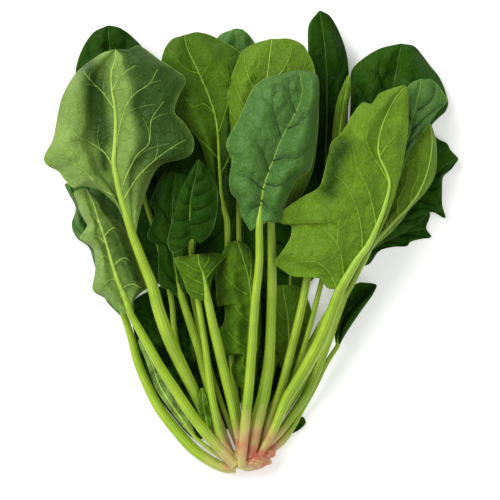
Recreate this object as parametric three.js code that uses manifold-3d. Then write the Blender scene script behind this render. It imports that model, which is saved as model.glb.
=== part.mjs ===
// A bunch of spinach lying on its back leaves, seen from above. Millimetres, +Z up.
// Each leaf is a waved sheet on a round stalk, and all the stalks join in one root crown.
import * as THREE from 'three';
import Module from 'manifold-3d';

const wasm = await Module();
wasm.setup();
const { Manifold, Mesh } = wasm;

// Driving dimensions
const bunchLength = 300;
const bladeThickness = 0.8;
const clearance = 0.3;
const endGap = 1;
const collarRadius = 23;
const crownHeight = 22;
const stalkSides = 8;
const stalkStep = 26;
const rowStep = 8.5;
const ribSlope = 1.3;
const baseWidening = 1.1;
const tipHalfWidth = 1.2;
const leastUpward = 0.35;

// The plan grid: columns run to the right and rows run towards the root
const rowsInLength = 462;
const gridStep = bunchLength / rowsInLength;
const middleColumn = 253.8;
const middleRow = 242.74;
const crownPlace = [250, 458];

// Materials, as plain colours
const looks = {
  upper: { color: 0x3f6f33, roughness: 0.45 },
  under: { color: 0x76953b, roughness: 0.55 },
  lime: { color: 0x6d9428, roughness: 0.5 },
  stalk: { color: 0xa3bd4c, roughness: 0.4 },
  crown: { color: 0xcf9e74, roughness: 0.6 },
};

// Every leaf has three rails from base to tip, as grid points: its left margin, its midrib and its
// right margin. rise is the midrib's height at even shares of its length, and across is added to it
// at even shares of the width, from the left margin to the right one. waves is how many waves the
// margins have and how high they are. lead is how far the midrib runs ahead of the margins halfway
// along, as a share of its length, for a leaf with deep notches. The stalk runs from the root to the
// blade, each point with its height, and radii are its radii at even shares of its length. Heights
// and radii are in mm.
const leaves = {
  left_front: {
    look: 'under',
    rise: [45, 47, 49, 50, 50, 48],
    across: [-5, 4, -1, 0, 2, 4, -5],
    waves: [5, 1.5],
    lead: 0.11,
    left: [[123, 218], [117, 206], [109, 198], [100, 191], [83, 186], [74, 188], [65, 180], [59, 172],
      [48, 166], [44, 159], [53, 140], [58, 115], [63, 96], [75, 75], [90, 62], [104, 53]],
    midrib: [[133, 236], [127, 217], [121, 198], [117, 180], [114, 163], [115, 148], [116, 124],
      [115, 107], [112, 88], [112, 72], [116, 59], [116, 50]],
    right: [[139, 218], [147, 190], [160, 166], [183, 159], [192, 153], [194, 140], [185, 124],
      [175, 112], [179, 96], [186, 80], [175, 70], [161, 61], [139, 46], [128, 50]],
    stalk: [[232, 466, 10], [222, 450, 11], [207, 420, 12.5], [196, 396, 14.5], [180, 363, 24],
      [169, 339, 33], [159, 311, 37], [152, 285, 40], [144, 265, 42], [133, 236, 45]],
    radii: [2.6, 3.2, 3.9, 4.1, 3.6, 2.8],
  },
  left_low: {
    look: 'under',
    rise: [30, 30, 31, 33, 33, 32],
    across: [-5, 2, 0, 3, -7],
    waves: [6, 1.6],
    left: [[116, 309], [109, 301], [95, 293], [92, 288], [95, 270], [93, 249], [80, 238], [87, 226],
      [81, 214], [77, 202], [74, 192]],
    midrib: [[131, 315], [124, 296], [117, 279], [111, 260], [105, 239], [99, 221], [93, 202], [86, 188]],
    right: [[134, 301], [142, 292], [150, 286], [145, 280], [138, 260], [129, 237], [121, 225],
      [109, 213], [99, 199]],
    stalk: [[235, 466, 18], [223, 453, 20], [207, 435, 23], [191, 414, 25], [175, 390, 26],
      [159, 365, 27], [144, 338, 28], [131, 315, 30]],
    radii: [3, 3.5, 3.4, 3, 2.4],
  },
  left_outer: {
    look: 'upper',
    rise: [11, 12, 13, 13, 12],
    across: [-3, 2, 0, 2, -3],
    waves: [5, 1.2],
    left: [[105, 300], [98, 280], [93, 262], [88, 247], [76, 238], [71, 225], [75, 208], [69, 195],
      [64, 184]],
    midrib: [[124, 317], [112, 290], [98, 255], [86, 220], [77, 197], [70, 182]],
    right: [[131, 285], [130, 246], [124, 212], [106, 190], [82, 181]],
    stalk: [[236, 469, 8], [223, 468, 8], [207, 460, 8], [191, 448, 8], [175, 430, 8], [159, 409, 9],
      [147, 386, 9], [137, 362, 10], [131, 339, 10], [124, 317, 11]],
    radii: [3.4, 3.6, 3.4, 2.9, 2.2],
  },
  left_back: {
    look: 'upper',
    rise: [15, 17, 19, 20, 20],
    across: [-4, 2, 0, 2, -4],
    waves: [3, 1],
    left: [[128, 175], [112, 155], [92, 125], [78, 95], [75, 72], [81, 50], [93, 32]],
    midrib: [[142, 192], [132, 150], [122, 110], [113, 70], [109, 40], [108, 25]],
    right: [[152, 175], [160, 148], [162, 110], [156, 75], [146, 52], [132, 36], [119, 27]],
    stalk: [[236, 463, 5], [220, 442, 5], [203, 412, 4.4], [188, 382, 4.4], [178, 351, 5], [174, 331, 7],
      [171, 300, 11], [160, 250, 13], [142, 192, 15]],
    radii: [1.8, 1.9, 1.8, 1.6],
  },
  centre_left: {
    look: 'under',
    rise: [27, 27.8, 29.7, 30.7, 30.7, 28.7],
    across: [-4, 2, 0, 2, -4],
    waves: [4, 1.2],
    left: [[214, 190], [206, 162], [200, 143], [190, 130], [177, 112], [167, 90], [161, 68], [164, 50],
      [172, 39]],
    midrib: [[227, 221], [221, 195], [220, 178], [219, 158], [218, 134], [215, 115], [208, 94],
      [198, 71], [188, 50], [184, 35]],
    right: [[235, 195], [238, 165], [240, 125], [241, 95], [243, 70], [241, 54], [232, 46], [221, 40],
      [208, 34], [196, 32]],
    stalk: [[243, 455, 7], [240, 430, 8], [236, 400, 10], [232, 360, 13], [229, 310, 17],
      [228, 260, 22], [227, 221, 27]],
    radii: [1.9, 2.2, 2.3, 1.9],
  },
  rear_small: {
    look: 'upper',
    rise: [12, 13, 15, 16, 16],
    across: [-2, 1, 0, 1, -2],
    waves: [2, 0.8],
    left: [[230, 135], [220, 112], [213, 82], [212, 52], [219, 35]],
    midrib: [[238, 150], [238, 110], [237, 70], [237, 42], [235, 28]],
    right: [[246, 135], [257, 112], [262, 82], [261, 55], [252, 38], [243, 29]],
    stalk: [[244, 452, 2.6], [244, 420, 3.6], [243, 380, 4.6], [241, 320, 6.5], [239, 250, 9],
      [238, 150, 12]],
    radii: [1.7, 1.8, 1.7, 1.5],
  },
  centre_lime: {
    look: 'lime',
    rise: [36, 38, 39, 39, 38],
    across: [-5, 1, 0, 2, -4],
    waves: [4, 1.2],
    left: [[258, 214], [243, 198], [232, 170], [228, 132], [226, 105], [229, 86], [236, 64], [242, 52],
      [254, 44]],
    midrib: [[271, 223], [268, 190], [265, 150], [265, 110], [267, 80], [270, 55], [272, 39]],
    right: [[284, 214], [300, 198], [313, 170], [318, 130], [318, 95], [314, 67], [309, 55], [303, 45],
      [290, 39]],
    stalk: [[250, 458, 14], [253, 443, 16], [259, 414, 19], [264, 394, 21], [269, 361, 25],
      [271, 320, 29], [272, 271, 33], [271, 223, 36]],
    radii: [3.8, 4.1, 3.3, 3, 2.4],
  },
  centre_front: {
    look: 'upper',
    rise: [53, 55, 56, 56, 54],
    across: [-5, 1, 1, 0, 1, 2, -6],
    waves: [4, 1.6],
    left: [[251, 231], [246, 224], [241, 215], [238, 201], [231, 193], [229, 180], [232, 158],
      [227, 150], [227, 141], [231, 133], [239, 119], [245, 105], [252, 90], [260, 82], [274, 76],
      [288, 73]],
    midrib: [[259, 226], [262, 196], [269, 172], [277, 150], [285, 132], [296, 112], [302, 93], [299, 71]],
    right: [[268, 222], [278, 222], [284, 207], [291, 190], [298, 179], [309, 171], [313, 159],
      [316, 135], [318, 112], [319, 89], [317, 76], [308, 72]],
    stalk: [[241, 468, 17], [243, 445, 22], [246, 415, 27], [249, 385, 33], [252, 345, 39],
      [255, 302, 44], [259, 262, 48], [259, 226, 52.6]],
    radii: [3.2, 3.2, 3, 2.7, 2.4],
  },
  right_front: {
    look: 'under',
    rise: [44, 46, 49, 51, 52, 52, 50],
    across: [-6, 1, 4, 0, 1, 1, -3],
    waves: [6, 1.8],
    left: [[327, 288], [320, 279], [304, 277], [293, 276], [281, 269], [275, 262], [281, 253],
      [290, 238], [291, 226], [282, 224], [278, 221], [284, 210], [304, 196], [319, 187], [324, 172],
      [328, 156], [331, 143], [342, 132], [352, 115], [362, 103], [371, 104], [379, 94], [394, 88]],
    midrib: [[339, 291], [348, 275], [357, 260], [368, 245], [376, 228], [384, 207], [389, 184],
      [385, 170], [379, 157], [378, 142], [384, 120], [394, 100], [405, 86]],
    right: [[352, 278], [362, 262], [372, 249], [381, 230], [389, 212], [396, 190], [403, 160],
      [407, 135], [408, 112], [408, 96]],
    stalk: [[260, 456, 16], [275, 427, 20], [286, 400, 24], [300, 377, 28], [312, 356, 32],
      [322, 336, 36], [330, 315, 40], [339, 291, 44]],
    radii: [2.2, 3, 3.7, 3.8, 3.2],
  },
  right_second: {
    look: 'under',
    rise: [27, 29, 30, 31, 31, 30],
    across: [-2, 1, 0, -2, -5],
    waves: [4, 1],
    left: [[371, 236], [383, 222], [391, 202], [395, 175], [400, 150], [409, 131], [420, 123]],
    midrib: [[369, 249], [380, 236], [394, 221], [408, 207], [420, 190], [429, 165], [432, 142],
      [430, 124]],
    right: [[384, 239], [396, 228], [411, 208], [424, 194], [434, 178], [437, 164], [436, 140]],
    stalk: [[259, 453, 9], [271, 436, 13], [284, 412, 16], [300, 385, 19], [314, 360, 23],
      [327, 335, 25], [339, 308, 27], [354, 280, 27], [369, 249, 27]],
    radii: [1.8, 1.9, 1.9, 1.7],
  },
  right_flap: {
    look: 'upper',
    rise: [38, 38, 39, 39],
    across: [-1, 1, 0, 1, -2],
    waves: [2, 0.8],
    left: [[389, 180], [392, 150], [396, 120], [401, 97], [410, 84]],
    midrib: [[387, 194], [399, 163], [408, 137], [414, 112], [419, 92], [421, 79]],
    right: [[399, 180], [408, 155], [418, 139], [428, 125], [438, 111], [447, 101], [441, 90], [432, 80]],
    stalk: [[256, 455, 3], [268, 425, 3.5], [280, 399, 4.5], [296, 368, 8], [312, 340, 13],
      [328, 312, 19], [348, 286, 23], [364, 262, 22], [375, 236, 21], [382, 213, 27], [387, 194, 35.5]],
    radii: [1.6, 1.7, 1.6, 1.5],
  },
  tall_back: {
    look: 'upper',
    rise: [22, 19, 17, 16, 15],
    across: [-3, 1, 0, 1, -3],
    waves: [3, 1],
    left: [[314, 175], [309, 150], [307, 120], [309, 80], [308, 45], [309, 24]],
    midrib: [[325, 200], [326, 160], [327, 120], [327, 80], [325, 45], [320, 10]],
    right: [[338, 175], [345, 150], [348, 120], [349, 90], [349, 67], [346, 49], [339, 30], [330, 15]],
    stalk: [[256, 453, 9], [263, 441, 11], [273, 412, 14], [283, 382, 18], [291, 351, 22],
      [301, 310, 26], [307, 279, 27], [315, 240, 25], [325, 200, 22]],
    radii: [2.5, 2.8, 2.6, 2.2],
  },
  lime_sliver: {
    look: 'lime',
    rise: [27, 27, 27, 27],
    across: [-3, 1, 0, 0, -2],
    waves: [2, 0.6],
    left: [[330, 165], [332, 140], [334, 118], [338, 98], [343, 85]],
    midrib: [[333, 183], [338, 150], [341, 120], [345, 95], [349, 75]],
    right: [[339, 165], [343, 145], [346, 122], [349, 103], [351, 88]],
    stalk: [[257, 454, 5.5], [270, 430, 7], [283, 403, 9], [295, 372, 13], [304, 347, 19],
      [317, 300, 22], [326, 260, 25], [331, 215, 26], [333, 183, 27]],
    radii: [1.5, 1.7, 1.7, 1.5],
  },
  right_back: {
    look: 'upper',
    rise: [14, 15, 16, 16, 15],
    across: [-3, 2, 0, 2, -8],
    waves: [3, 1.4],
    left: [[354, 180], [348, 155], [350, 120], [351, 90], [352, 70], [362, 59], [380, 48]],
    midrib: [[368, 203], [376, 165], [384, 130], [391, 100], [396, 75], [402, 43]],
    right: [[392, 180], [414, 152], [433, 124], [441, 116], [447, 110], [449, 101], [441, 78],
      [431, 65], [422, 53], [414, 45]],
    stalk: [[260, 453, 6], [279, 434, 7.5], [291, 418, 10], [307, 394, 12], [318, 370, 13],
      [328, 343, 15], [335, 324, 16], [346, 292, 16], [356, 258, 15], [368, 203, 14]],
    radii: [2.6, 2.6, 2.4, 2, 1.6],
  },
  right_rear: {
    look: 'upper',
    rise: [9, 9, 9, 8],
    across: [-3, 1, 0, 1, -3],
    waves: [3, 1],
    left: [[376, 222], [388, 200], [402, 172], [419, 145], [431, 133], [440, 139], [448, 143],
      [451, 149]],
    midrib: [[378, 238], [395, 222], [415, 200], [432, 178], [447, 164], [459, 158]],
    right: [[386, 241], [404, 233], [420, 222], [432, 212], [446, 218], [443, 205], [443, 191],
      [444, 177], [452, 169]],
    stalk: [[258, 453, 3], [280, 420, 4], [303, 385, 6], [318, 350, 8], [330, 315, 9], [344, 285, 10],
      [360, 262, 10], [378, 238, 9]],
    radii: [1.6, 1.7, 1.6, 1.4],
  },
  right_low: {
    look: 'upper',
    rise: [4, 3, 2, 2],
    across: [0, 0, 0, 0, -1],
    waves: [3, 0.6],
    left: [[368, 240], [385, 222], [405, 212], [422, 208], [431, 213]],
    midrib: [[358, 266], [372, 250], [390, 239], [410, 231], [427, 228]],
    right: [[370, 264], [380, 251], [394, 247], [408, 246], [411, 242], [422, 239], [432, 237]],
    stalk: [[264, 453, 2.2], [284, 425, 2.2], [306, 390, 2.4], [321, 352, 3], [334, 312, 3.5],
      [345, 285, 4], [358, 266, 4]],
    radii: [1.6, 1.6, 1.5, 1.4],
  },
  right_small: {
    look: 'upper',
    rise: [9, 8, 8, 9],
    across: [3, 1, 0, 5, 7],
    waves: [2, 0.6],
    left: [[335, 336], [337, 322], [343, 304], [350, 290], [358, 283], [371, 283]],
    midrib: [[338, 346], [339, 334], [342, 322], [348, 312], [356, 303], [365, 294], [377, 285]],
    right: [[345, 336], [354, 322], [363, 309], [373, 295]],
    stalk: [[264, 456, 5], [280, 443, 5], [292, 429, 5], [301, 412, 6.5], [314, 389, 8], [326, 365, 8],
      [338, 346, 9]],
    radii: [1.9, 1.9, 1.8, 1.5],
  },
  small_front: {
    look: 'upper',
    rise: [52, 54, 56, 56],
    across: [-3, 1, 0, 1, -4],
    waves: [3, 1.2],
    left: [[184, 248], [173, 253], [168, 244], [170, 230], [174, 217], [180, 195],
      [190, 173]],
    midrib: [[192, 239], [191, 228], [190, 215], [191, 200], [195, 180], [199, 160]],
    right: [[200, 243], [211, 233], [216, 219], [218, 200], [217, 188], [212, 177],
      [205, 166]],
    stalk: [[236, 465, 11], [229, 453, 14], [221, 440, 17], [215, 414, 21], [210, 385, 25],
      [205, 345, 29], [199, 306, 33], [195, 280, 34], [192, 257, 36], [191, 248, 38.5], [192, 239, 49]],
    radii: [2.6, 2.6, 2.2, 2, 1.6],
  },
  small_lime: {
    look: 'lime',
    rise: [42, 44, 45, 45],
    across: [-3, 1, 0, -3, -12],
    waves: [2, 0.6],
    left: [[196, 299], [188, 293], [184, 282], [180, 273], [175, 262], [175, 258], [185, 256]],
    midrib: [[208, 301], [206, 287], [203, 273], [199, 263], [198, 254]],
    right: [[211, 291], [213, 277], [219, 266], [225, 257], [220, 254], [210, 253]],
    stalk: [[239, 462, 11], [239, 440, 14], [236, 425, 17], [232, 405, 21], [226, 380, 26],
      [219, 350, 32], [213, 325, 37], [208, 301, 42]],
    radii: [2.6, 3, 3.2, 3.2, 2.6],
  },
  left_folded: {
    look: 'upper',
    rise: [21, 24, 26, 26, 25],
    across: [-5, 2, 0, 2, -3],
    waves: [5, 1.4],
    left: [[169, 290], [160, 286], [158, 265], [157, 245], [149, 240], [147, 234], [152, 222],
      [155, 212], [150, 204], [155, 190], [160, 178], [168, 172]],
    midrib: [[182, 299], [177, 280], [174, 262], [172, 240], [172, 215], [174, 190], [176, 172]],
    right: [[190, 282], [193, 260], [196, 240], [197, 215], [193, 195], [187, 177]],
    stalk: [[234, 462, 8], [226, 440, 9], [215, 410, 11], [204, 372, 14], [199, 351, 16],
      [191, 326, 18], [182, 299, 21]],
    radii: [1.9, 2.3, 2.8, 2.9, 2.4],
  },
  lower_centre: {
    look: 'under',
    rise: [18, 24, 29, 31, 31],
    across: [-6, 2, 0, 1, -3],
    waves: [5, 1.5],
    left: [[238, 386], [231, 369], [236, 355], [224, 356], [220, 345], [219, 331], [224, 322],
      [224, 306], [218, 306], [216, 290], [216, 272], [220, 258], [228, 244]],
    midrib: [[249, 395], [252, 370], [253, 340], [252, 310], [249, 280], [243, 258], [237, 240]],
    right: [[256, 378], [260, 345], [261, 310], [259, 285], [254, 262], [249, 248]],
    stalk: [[248, 454, 9], [249, 425, 12], [249, 395, 18]],
    radii: [1.8, 1.9, 1.7],
  },
  lower_right: {
    look: 'under',
    rise: [11, 14, 15, 15],
    across: [-2, 1, 0, 1, -3],
    waves: [4, 1],
    left: [[276, 358], [270, 330], [268, 300], [273, 286]],
    midrib: [[286, 374], [289, 345], [288, 318], [285, 300], [283, 285]],
    right: [[297, 360], [303, 345], [310, 325], [311, 308], [302, 290], [294, 285]],
    stalk: [[253, 452, 7], [262, 430, 8], [275, 400, 10], [286, 374, 11]],
    radii: [1.7, 1.7, 1.6],
  },
  low_left_dark: {
    look: 'upper',
    rise: [1.4, 1.1, 1, 1],
    across: [0, 0.2, 0, 0.2, 0],
    waves: [4, 0.5],
    left: [[196, 441], [173, 418], [153, 390], [140, 358], [132, 326], [131, 304], [149, 291]],
    midrib: [[212, 433], [202, 400], [194, 360], [189, 325], [186, 278]],
    right: [[226, 431], [237, 414], [243, 392], [247, 345], [245, 300], [223, 277]],
    stalk: [[236, 461, 3], [223, 446, 1.6], [212, 433, 1.5]],
    radii: [1.4, 1.3, 1.2],
  },
  low_left_edge: {
    look: 'under',
    rise: [16, 17, 18, 18],
    across: [-1, 0, 0, 0, 1],
    waves: [6, 0.5],
    left: [[181, 425], [168, 408], [155, 388], [146, 362], [138, 342]],
    midrib: [[195, 438], [185, 424], [173, 407], [160, 387], [151, 362], [140, 338]],
    right: [[189, 421], [178, 405], [166, 385], [156, 360], [145, 342]],
    stalk: [[232, 465, 12], [214, 453, 14], [195, 438, 16]],
    radii: [1.4, 1.4, 1.3],
  },
  low_curl: {
    look: 'upper',
    rise: [17.5, 18.5, 20, 20.5],
    across: [0, 0, 0, 0, 1],
    waves: [4, 0.6],
    left: [[202, 421], [198, 406], [199, 396], [200, 390]],
    midrib: [[209, 436], [206, 420], [203, 403], [202, 388]],
    right: [[211, 420], [208, 404], [205, 393]],
    stalk: [[231, 463, 13], [218, 448, 15], [209, 437, 17.5]],
    radii: [1.3, 1.3, 1.2],
  },
  back_left: {
    look: 'upper',
    rise: [5, 5, 6, 6, 5],
    across: [-5, 1, 0, 1, 0],
    waves: [3, 0.8],
    left: [[158, 284], [140, 272], [125, 238], [112, 180], [106, 135], [118, 102], [140, 88]],
    midrib: [[190, 288], [180, 240], [168, 190], [158, 140], [154, 90]],
    right: [[215, 279], [240, 258], [243, 215], [236, 165], [214, 118], [186, 92]],
    stalk: [[242, 458, 2.4], [227, 420, 4.1], [210, 370, 4.6], [197, 320, 4.8], [190, 288, 5]],
    radii: [1.7, 1.8, 1.7, 1.5],
  },
  back_right: {
    look: 'upper',
    rise: [5, 5, 5, 5, 5],
    across: [-3, 1, 0, 1, -5],
    waves: [3, 0.8],
    left: [[262, 288], [240, 266], [236, 225], [244, 172], [264, 122], [290, 92]],
    midrib: [[290, 298], [292, 250], [296, 200], [302, 150], [311, 89]],
    right: [[316, 276], [336, 235], [348, 190], [348, 140], [334, 104]],
    stalk: [[250, 452, 2.2], [262, 410, 4.2], [276, 360, 4.6], [286, 325, 4.8], [290, 298, 5]],
    radii: [1.7, 1.8, 1.7, 1.5],
  },
  inner_right: {
    look: 'upper',
    rise: [1.5, 1.2, 1.1, 1.1],
    across: [0, 0.2, 0, 0.2, 0],
    waves: [3, 0.4],
    left: [[247, 408], [245, 385], [250, 345], [250, 315], [254, 289]],
    midrib: [[254, 415], [262, 385], [268, 350], [272, 320], [276, 282]],
    right: [[270, 419], [288, 408], [297, 384], [299, 350], [299, 325], [297, 290]],
    stalk: [[250, 456, 2], [252, 436, 1.6], [254, 415, 1.5]],
    radii: [1.3, 1.3, 1.2],
  },
  sprout: {
    look: 'upper',
    rise: [1.8, 1.9, 2, 2.2],
    across: [-0.6, 0, 0.6],
    waves: [2, 0.4],
    left: [[291, 426], [296, 419]],
    midrib: [[291, 434], [296, 428], [300, 423], [304, 418]],
    right: [[299, 431], [306, 424]],
    stalk: [[264, 456, 2], [281, 446, 1.7], [291, 434, 2]],
    radii: [1.2, 1.2, 1],
  },
};

// Plan place of a grid point, in mm
function place([column, row], height) {
  return new THREE.Vector3((column - middleColumn) * gridStep, (middleRow - row) * gridStep, height);
}

// The point at a share of the length of a smooth curve through the points
function along(points, share) {
  const reach = [0];
  for (let i = 1; i < points.length; i += 1) {
    reach.push(reach[i - 1] + points[i].distanceTo(points[i - 1]));
  }
  const last = points.length - 1;
  const goal = share * reach[last];
  let i = 0;
  while (i < last - 1 && reach[i + 1] < goal) {
    i += 1;
  }
  const span = reach[i + 1] - reach[i];
  const part = (goal - reach[i]) / span;
  const slope = (k) => {
    const before = Math.max(k - 1, 0);
    const after = Math.min(k + 1, last);
    return points[after].clone().sub(points[before]).multiplyScalar(span / (reach[after] - reach[before]));
  };
  const cube = part ** 3;
  const square = part ** 2;
  return points[i].clone().multiplyScalar(2 * cube - 3 * square + 1)
    .addScaledVector(slope(i), cube - 2 * square + part)
    .addScaledVector(points[i + 1], 3 * square - 2 * cube)
    .addScaledVector(slope(i + 1), cube - square);
}

// The value at a share of a smooth curve through evenly spaced values
function level(values, share) {
  const points = values.map((value, i) => new THREE.Vector3(i / (values.length - 1), 0, value));
  const last = points.length - 1;
  const i = Math.min(Math.floor(share * last), last - 1);
  const part = share * last - i;
  const slope = (k) => (values[Math.min(k + 1, last)] - values[Math.max(k - 1, 0)]) / (k % last ? 2 : 1);
  const cube = part ** 3;
  const square = part ** 2;
  return values[i] * (2 * cube - 3 * square + 1) + slope(i) * (cube - 2 * square + part)
    + values[i + 1] * (3 * square - 2 * cube) + slope(i + 1) * (cube - square);
}

const flat = (vector) => vector.clone().setZ(0);

// The three rails of a leaf in mm. The first and the last row are short, and each half of them
// lies midway between square to the midrib and straight to the nearest point of its margin
function railsOf(leaf) {
  const midrib = leaf.midrib.map((point) => place(point, 0));
  const end = (at, next, halfWidth, margin, sign) => {
    const course = midrib.at(next).clone().sub(midrib.at(at)).normalize();
    const square = new THREE.Vector3(-course.y, course.x, 0).multiplyScalar(sign);
    const toMargin = margin.clone().sub(midrib.at(at)).normalize();
    return midrib.at(at).clone().add(square.add(toMargin).setLength(halfWidth));
  };
  const side = (rail, sign) => {
    const margin = rail.map((point) => place(point, 0));
    return [
      end(0, 1, leaf.radii.at(-1) * baseWidening, margin[0], sign),
      ...margin,
      end(-1, -2, tipHalfWidth, margin.at(-1), -sign),
    ];
  };
  return { left: side(leaf.left, 1), midrib, right: side(leaf.right, -1) };
}

// The share of the midrib that belongs to share u of the margins
function spineShare(leaf, u) {
  return u + (leaf.lead ?? 0) * Math.sin(Math.PI * u);
}

// The middle of the sheet at share u from base to tip and v from -1 at the left to 1 at the right
function sheetPoint(leaf, rails, u, v) {
  const spine = along(rails.midrib, spineShare(leaf, u));
  const margin = along(v < 0 ? rails.left : rails.right, u);
  const point = spine.lerp(margin, Math.abs(v));
  const fade = Math.min(1, u * 5, (1.02 - u) * 6);
  const [count, height] = leaf.waves;
  const wave = height * Math.abs(v) ** 3 * Math.sin(2 * Math.PI * (count * u + 0.3 * v));
  point.z = level(leaf.rise, u) + fade * (level(leaf.across, (v + 1) / 2) + wave);
  return point;
}

// One closed solid from a grid of points: both faces share their diagonals, and a rim joins them
function sheetSolid(top, bottom) {
  const rows = top.length;
  const columns = top[0].length;
  const points = [...top.flat(), ...bottom.flat()];
  const at = (row, column, face) => face * rows * columns + row * columns + column;
  const triangles = [];
  const quad = (a, b, c, d) => triangles.push([a, b, c], [a, c, d]);
  for (let row = 0; row < rows - 1; row += 1) {
    for (let column = 0; column < columns - 1; column += 1) {
      quad(at(row, column, 0), at(row, column + 1, 0), at(row + 1, column + 1, 0), at(row + 1, column, 0));
      triangles.push(
        [at(row, column, 1), at(row + 1, column + 1, 1), at(row, column + 1, 1)],
        [at(row, column, 1), at(row + 1, column, 1), at(row + 1, column + 1, 1)],
      );
    }
  }
  for (let row = 0; row < rows - 1; row += 1) {
    quad(at(row, 0, 1), at(row, 0, 0), at(row + 1, 0, 0), at(row + 1, 0, 1));
    const end = columns - 1;
    quad(at(row, end, 0), at(row, end, 1), at(row + 1, end, 1), at(row + 1, end, 0));
  }
  for (let column = 0; column < columns - 1; column += 1) {
    quad(at(0, column, 0), at(0, column, 1), at(0, column + 1, 1), at(0, column + 1, 0));
    const end = rows - 1;
    quad(at(end, column, 1), at(end, column, 0), at(end, column + 1, 0), at(end, column + 1, 1));
  }
  return solidOf(points, triangles);
}

function solidOf(points, triangles) {
  const geometry = new THREE.BufferGeometry();
  geometry.setAttribute('position', new THREE.Float32BufferAttribute(points.flatMap((p) => p.toArray()), 3));
  geometry.setIndex(triangles.flat());
  return geometry;
}

// The upward direction at each point of a grid of points
function upwards(grid) {
  return grid.map((line, row) => line.map((point, column) => {
    const next = grid[Math.min(row + 1, grid.length - 1)][column];
    const before = grid[Math.max(row - 1, 0)][column];
    const right = line[Math.min(column + 1, line.length - 1)];
    const left = line[Math.max(column - 1, 0)];
    return right.clone().sub(left).cross(next.clone().sub(before)).normalize();
  }));
}

// A blade: a sheet of even thickness with a rib that tapers to the tip. Both faces lie straight above
// each other, so they can't meet, and steeper parts are thicker upwards to keep the thickness
function blade(leaf) {
  const rails = railsOf(leaf);
  let length = 0;
  for (let i = 1; i < rails.midrib.length; i += 1) {
    length += rails.midrib[i].distanceTo(rails.midrib[i - 1]);
  }
  const rows = Math.max(6, Math.round(length / rowStep));
  const perSide = leaf.across.length > 5 ? 4 : 3;
  const endRadius = leaf.radii.at(-1);
  const middles = [];
  const ribs = [];
  for (let row = 0; row <= rows; row += 1) {
    const u = row / rows;
    const spine = along(rails.midrib, spineShare(leaf, u));
    const ribRadius = 0.5 + endRadius * (1 - u) ** ribSlope;
    const shares = [-1, 1].map((sign) => {
      const margin = along(sign < 0 ? rails.left : rails.right, u);
      const ribShare = Math.min(0.45, ribRadius / spine.distanceTo(margin));
      const list = [];
      for (let k = 0; k < perSide; k += 1) {
        list.push(sign * (ribShare + (1 - ribShare) * (k / (perSide - 1))));
      }
      return list;
    });
    const line = [...shares[0].reverse(), 0, ...shares[1]];
    middles.push(line.map((v) => sheetPoint(leaf, rails, u, v)));
    ribs.push(line.map((v) => (v === 0 ? ribRadius : 0)));
  }
  const up = upwards(middles);
  const ribUp = leaf.look === 'upper' ? 0 : 1;
  const offset = (row, column, face) => {
    const rib = face === ribUp ? ribs[row][column] : 0;
    const reach = bladeThickness / 2 / Math.max(up[row][column].z, leastUpward) + rib;
    const point = middles[row][column].clone();
    point.z += face ? reach : -reach;
    return point;
  };
  const [bottom, top] = [0, 1].map((face) => (
    middles.map((line, row) => line.map((_, column) => offset(row, column, face)))
  ));
  bottom.forEach((line, row) => line.forEach((point, column) => {
    point.z = Math.max(point.z, 0);
    top[row][column].z = Math.max(top[row][column].z, point.z + bladeThickness);
  }));
  return sheetSolid(top, bottom);
}

// A round tube along the shares of a route, with closed ends
function tube(route, radii, from, to, steps) {
  const rings = [];
  for (let step = 0; step <= steps; step += 1) {
    const share = from + (to - from) * (step / steps);
    const centre = along(route, share);
    const nudge = 0.002;
    const course = along(route, Math.min(1, share + nudge)).sub(along(route, Math.max(0, share - nudge)));
    course.normalize();
    const across = new THREE.Vector3(course.y, -course.x, 0).normalize();
    const lift = across.clone().cross(course);
    const radius = level(radii, share);
    const ring = [];
    for (let side = 0; side < stalkSides; side += 1) {
      const angle = (2 * Math.PI * side) / stalkSides;
      ring.push(centre.clone().addScaledVector(across, radius * Math.cos(angle))
        .addScaledVector(lift, radius * Math.sin(angle)));
    }
    rings.push(ring);
  }
  const points = rings.flat();
  const triangles = [];
  const at = (step, side) => step * stalkSides + (side % stalkSides);
  for (let step = 0; step < steps; step += 1) {
    for (let side = 0; side < stalkSides; side += 1) {
      triangles.push([at(step, side), at(step + 1, side + 1), at(step, side + 1)]);
      triangles.push([at(step, side), at(step + 1, side), at(step + 1, side + 1)]);
    }
  }
  for (let side = 1; side < stalkSides - 1; side += 1) {
    triangles.push([at(0, 0), at(0, side), at(0, side + 1)]);
    triangles.push([at(steps, 0), at(steps, side + 1), at(steps, side)]);
  }
  return solidOf(points, triangles);
}

const crownCentre = place(crownPlace, crownHeight / 2);

// The stalk's route, its length and the share at which it leaves the crown's collar
function routeOf(leaf) {
  const route = leaf.stalk.map(([column, row, height]) => place([column, row], height));
  let length = 0;
  for (let i = 1; i < route.length; i += 1) {
    length += route[i].distanceTo(route[i - 1]);
  }
  let collar = 0;
  while (along(route, collar).distanceTo(crownCentre) < collarRadius) {
    collar += 0.002;
  }
  return { route, length, collar };
}

function stalk(leaf) {
  const { route, length, collar } = routeOf(leaf);
  const steps = Math.max(2, Math.round((length * (1 - collar)) / stalkStep) + 1);
  return tube(route, leaf.radii, collar + clearance / length, 1 - endGap / length, steps);
}

function manifoldOf(geometry) {
  return new Manifold(new Mesh({
    numProp: 3,
    vertProperties: new Float32Array(geometry.attributes.position.array),
    triVerts: new Uint32Array(geometry.index.array),
  }));
}

function geometryOf(solid) {
  const mesh = solid.getMesh();
  const geometry = new THREE.BufferGeometry();
  geometry.setAttribute('position', new THREE.Float32BufferAttribute(mesh.vertProperties, 3));
  geometry.setIndex([...mesh.triVerts]);
  return geometry;
}

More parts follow.
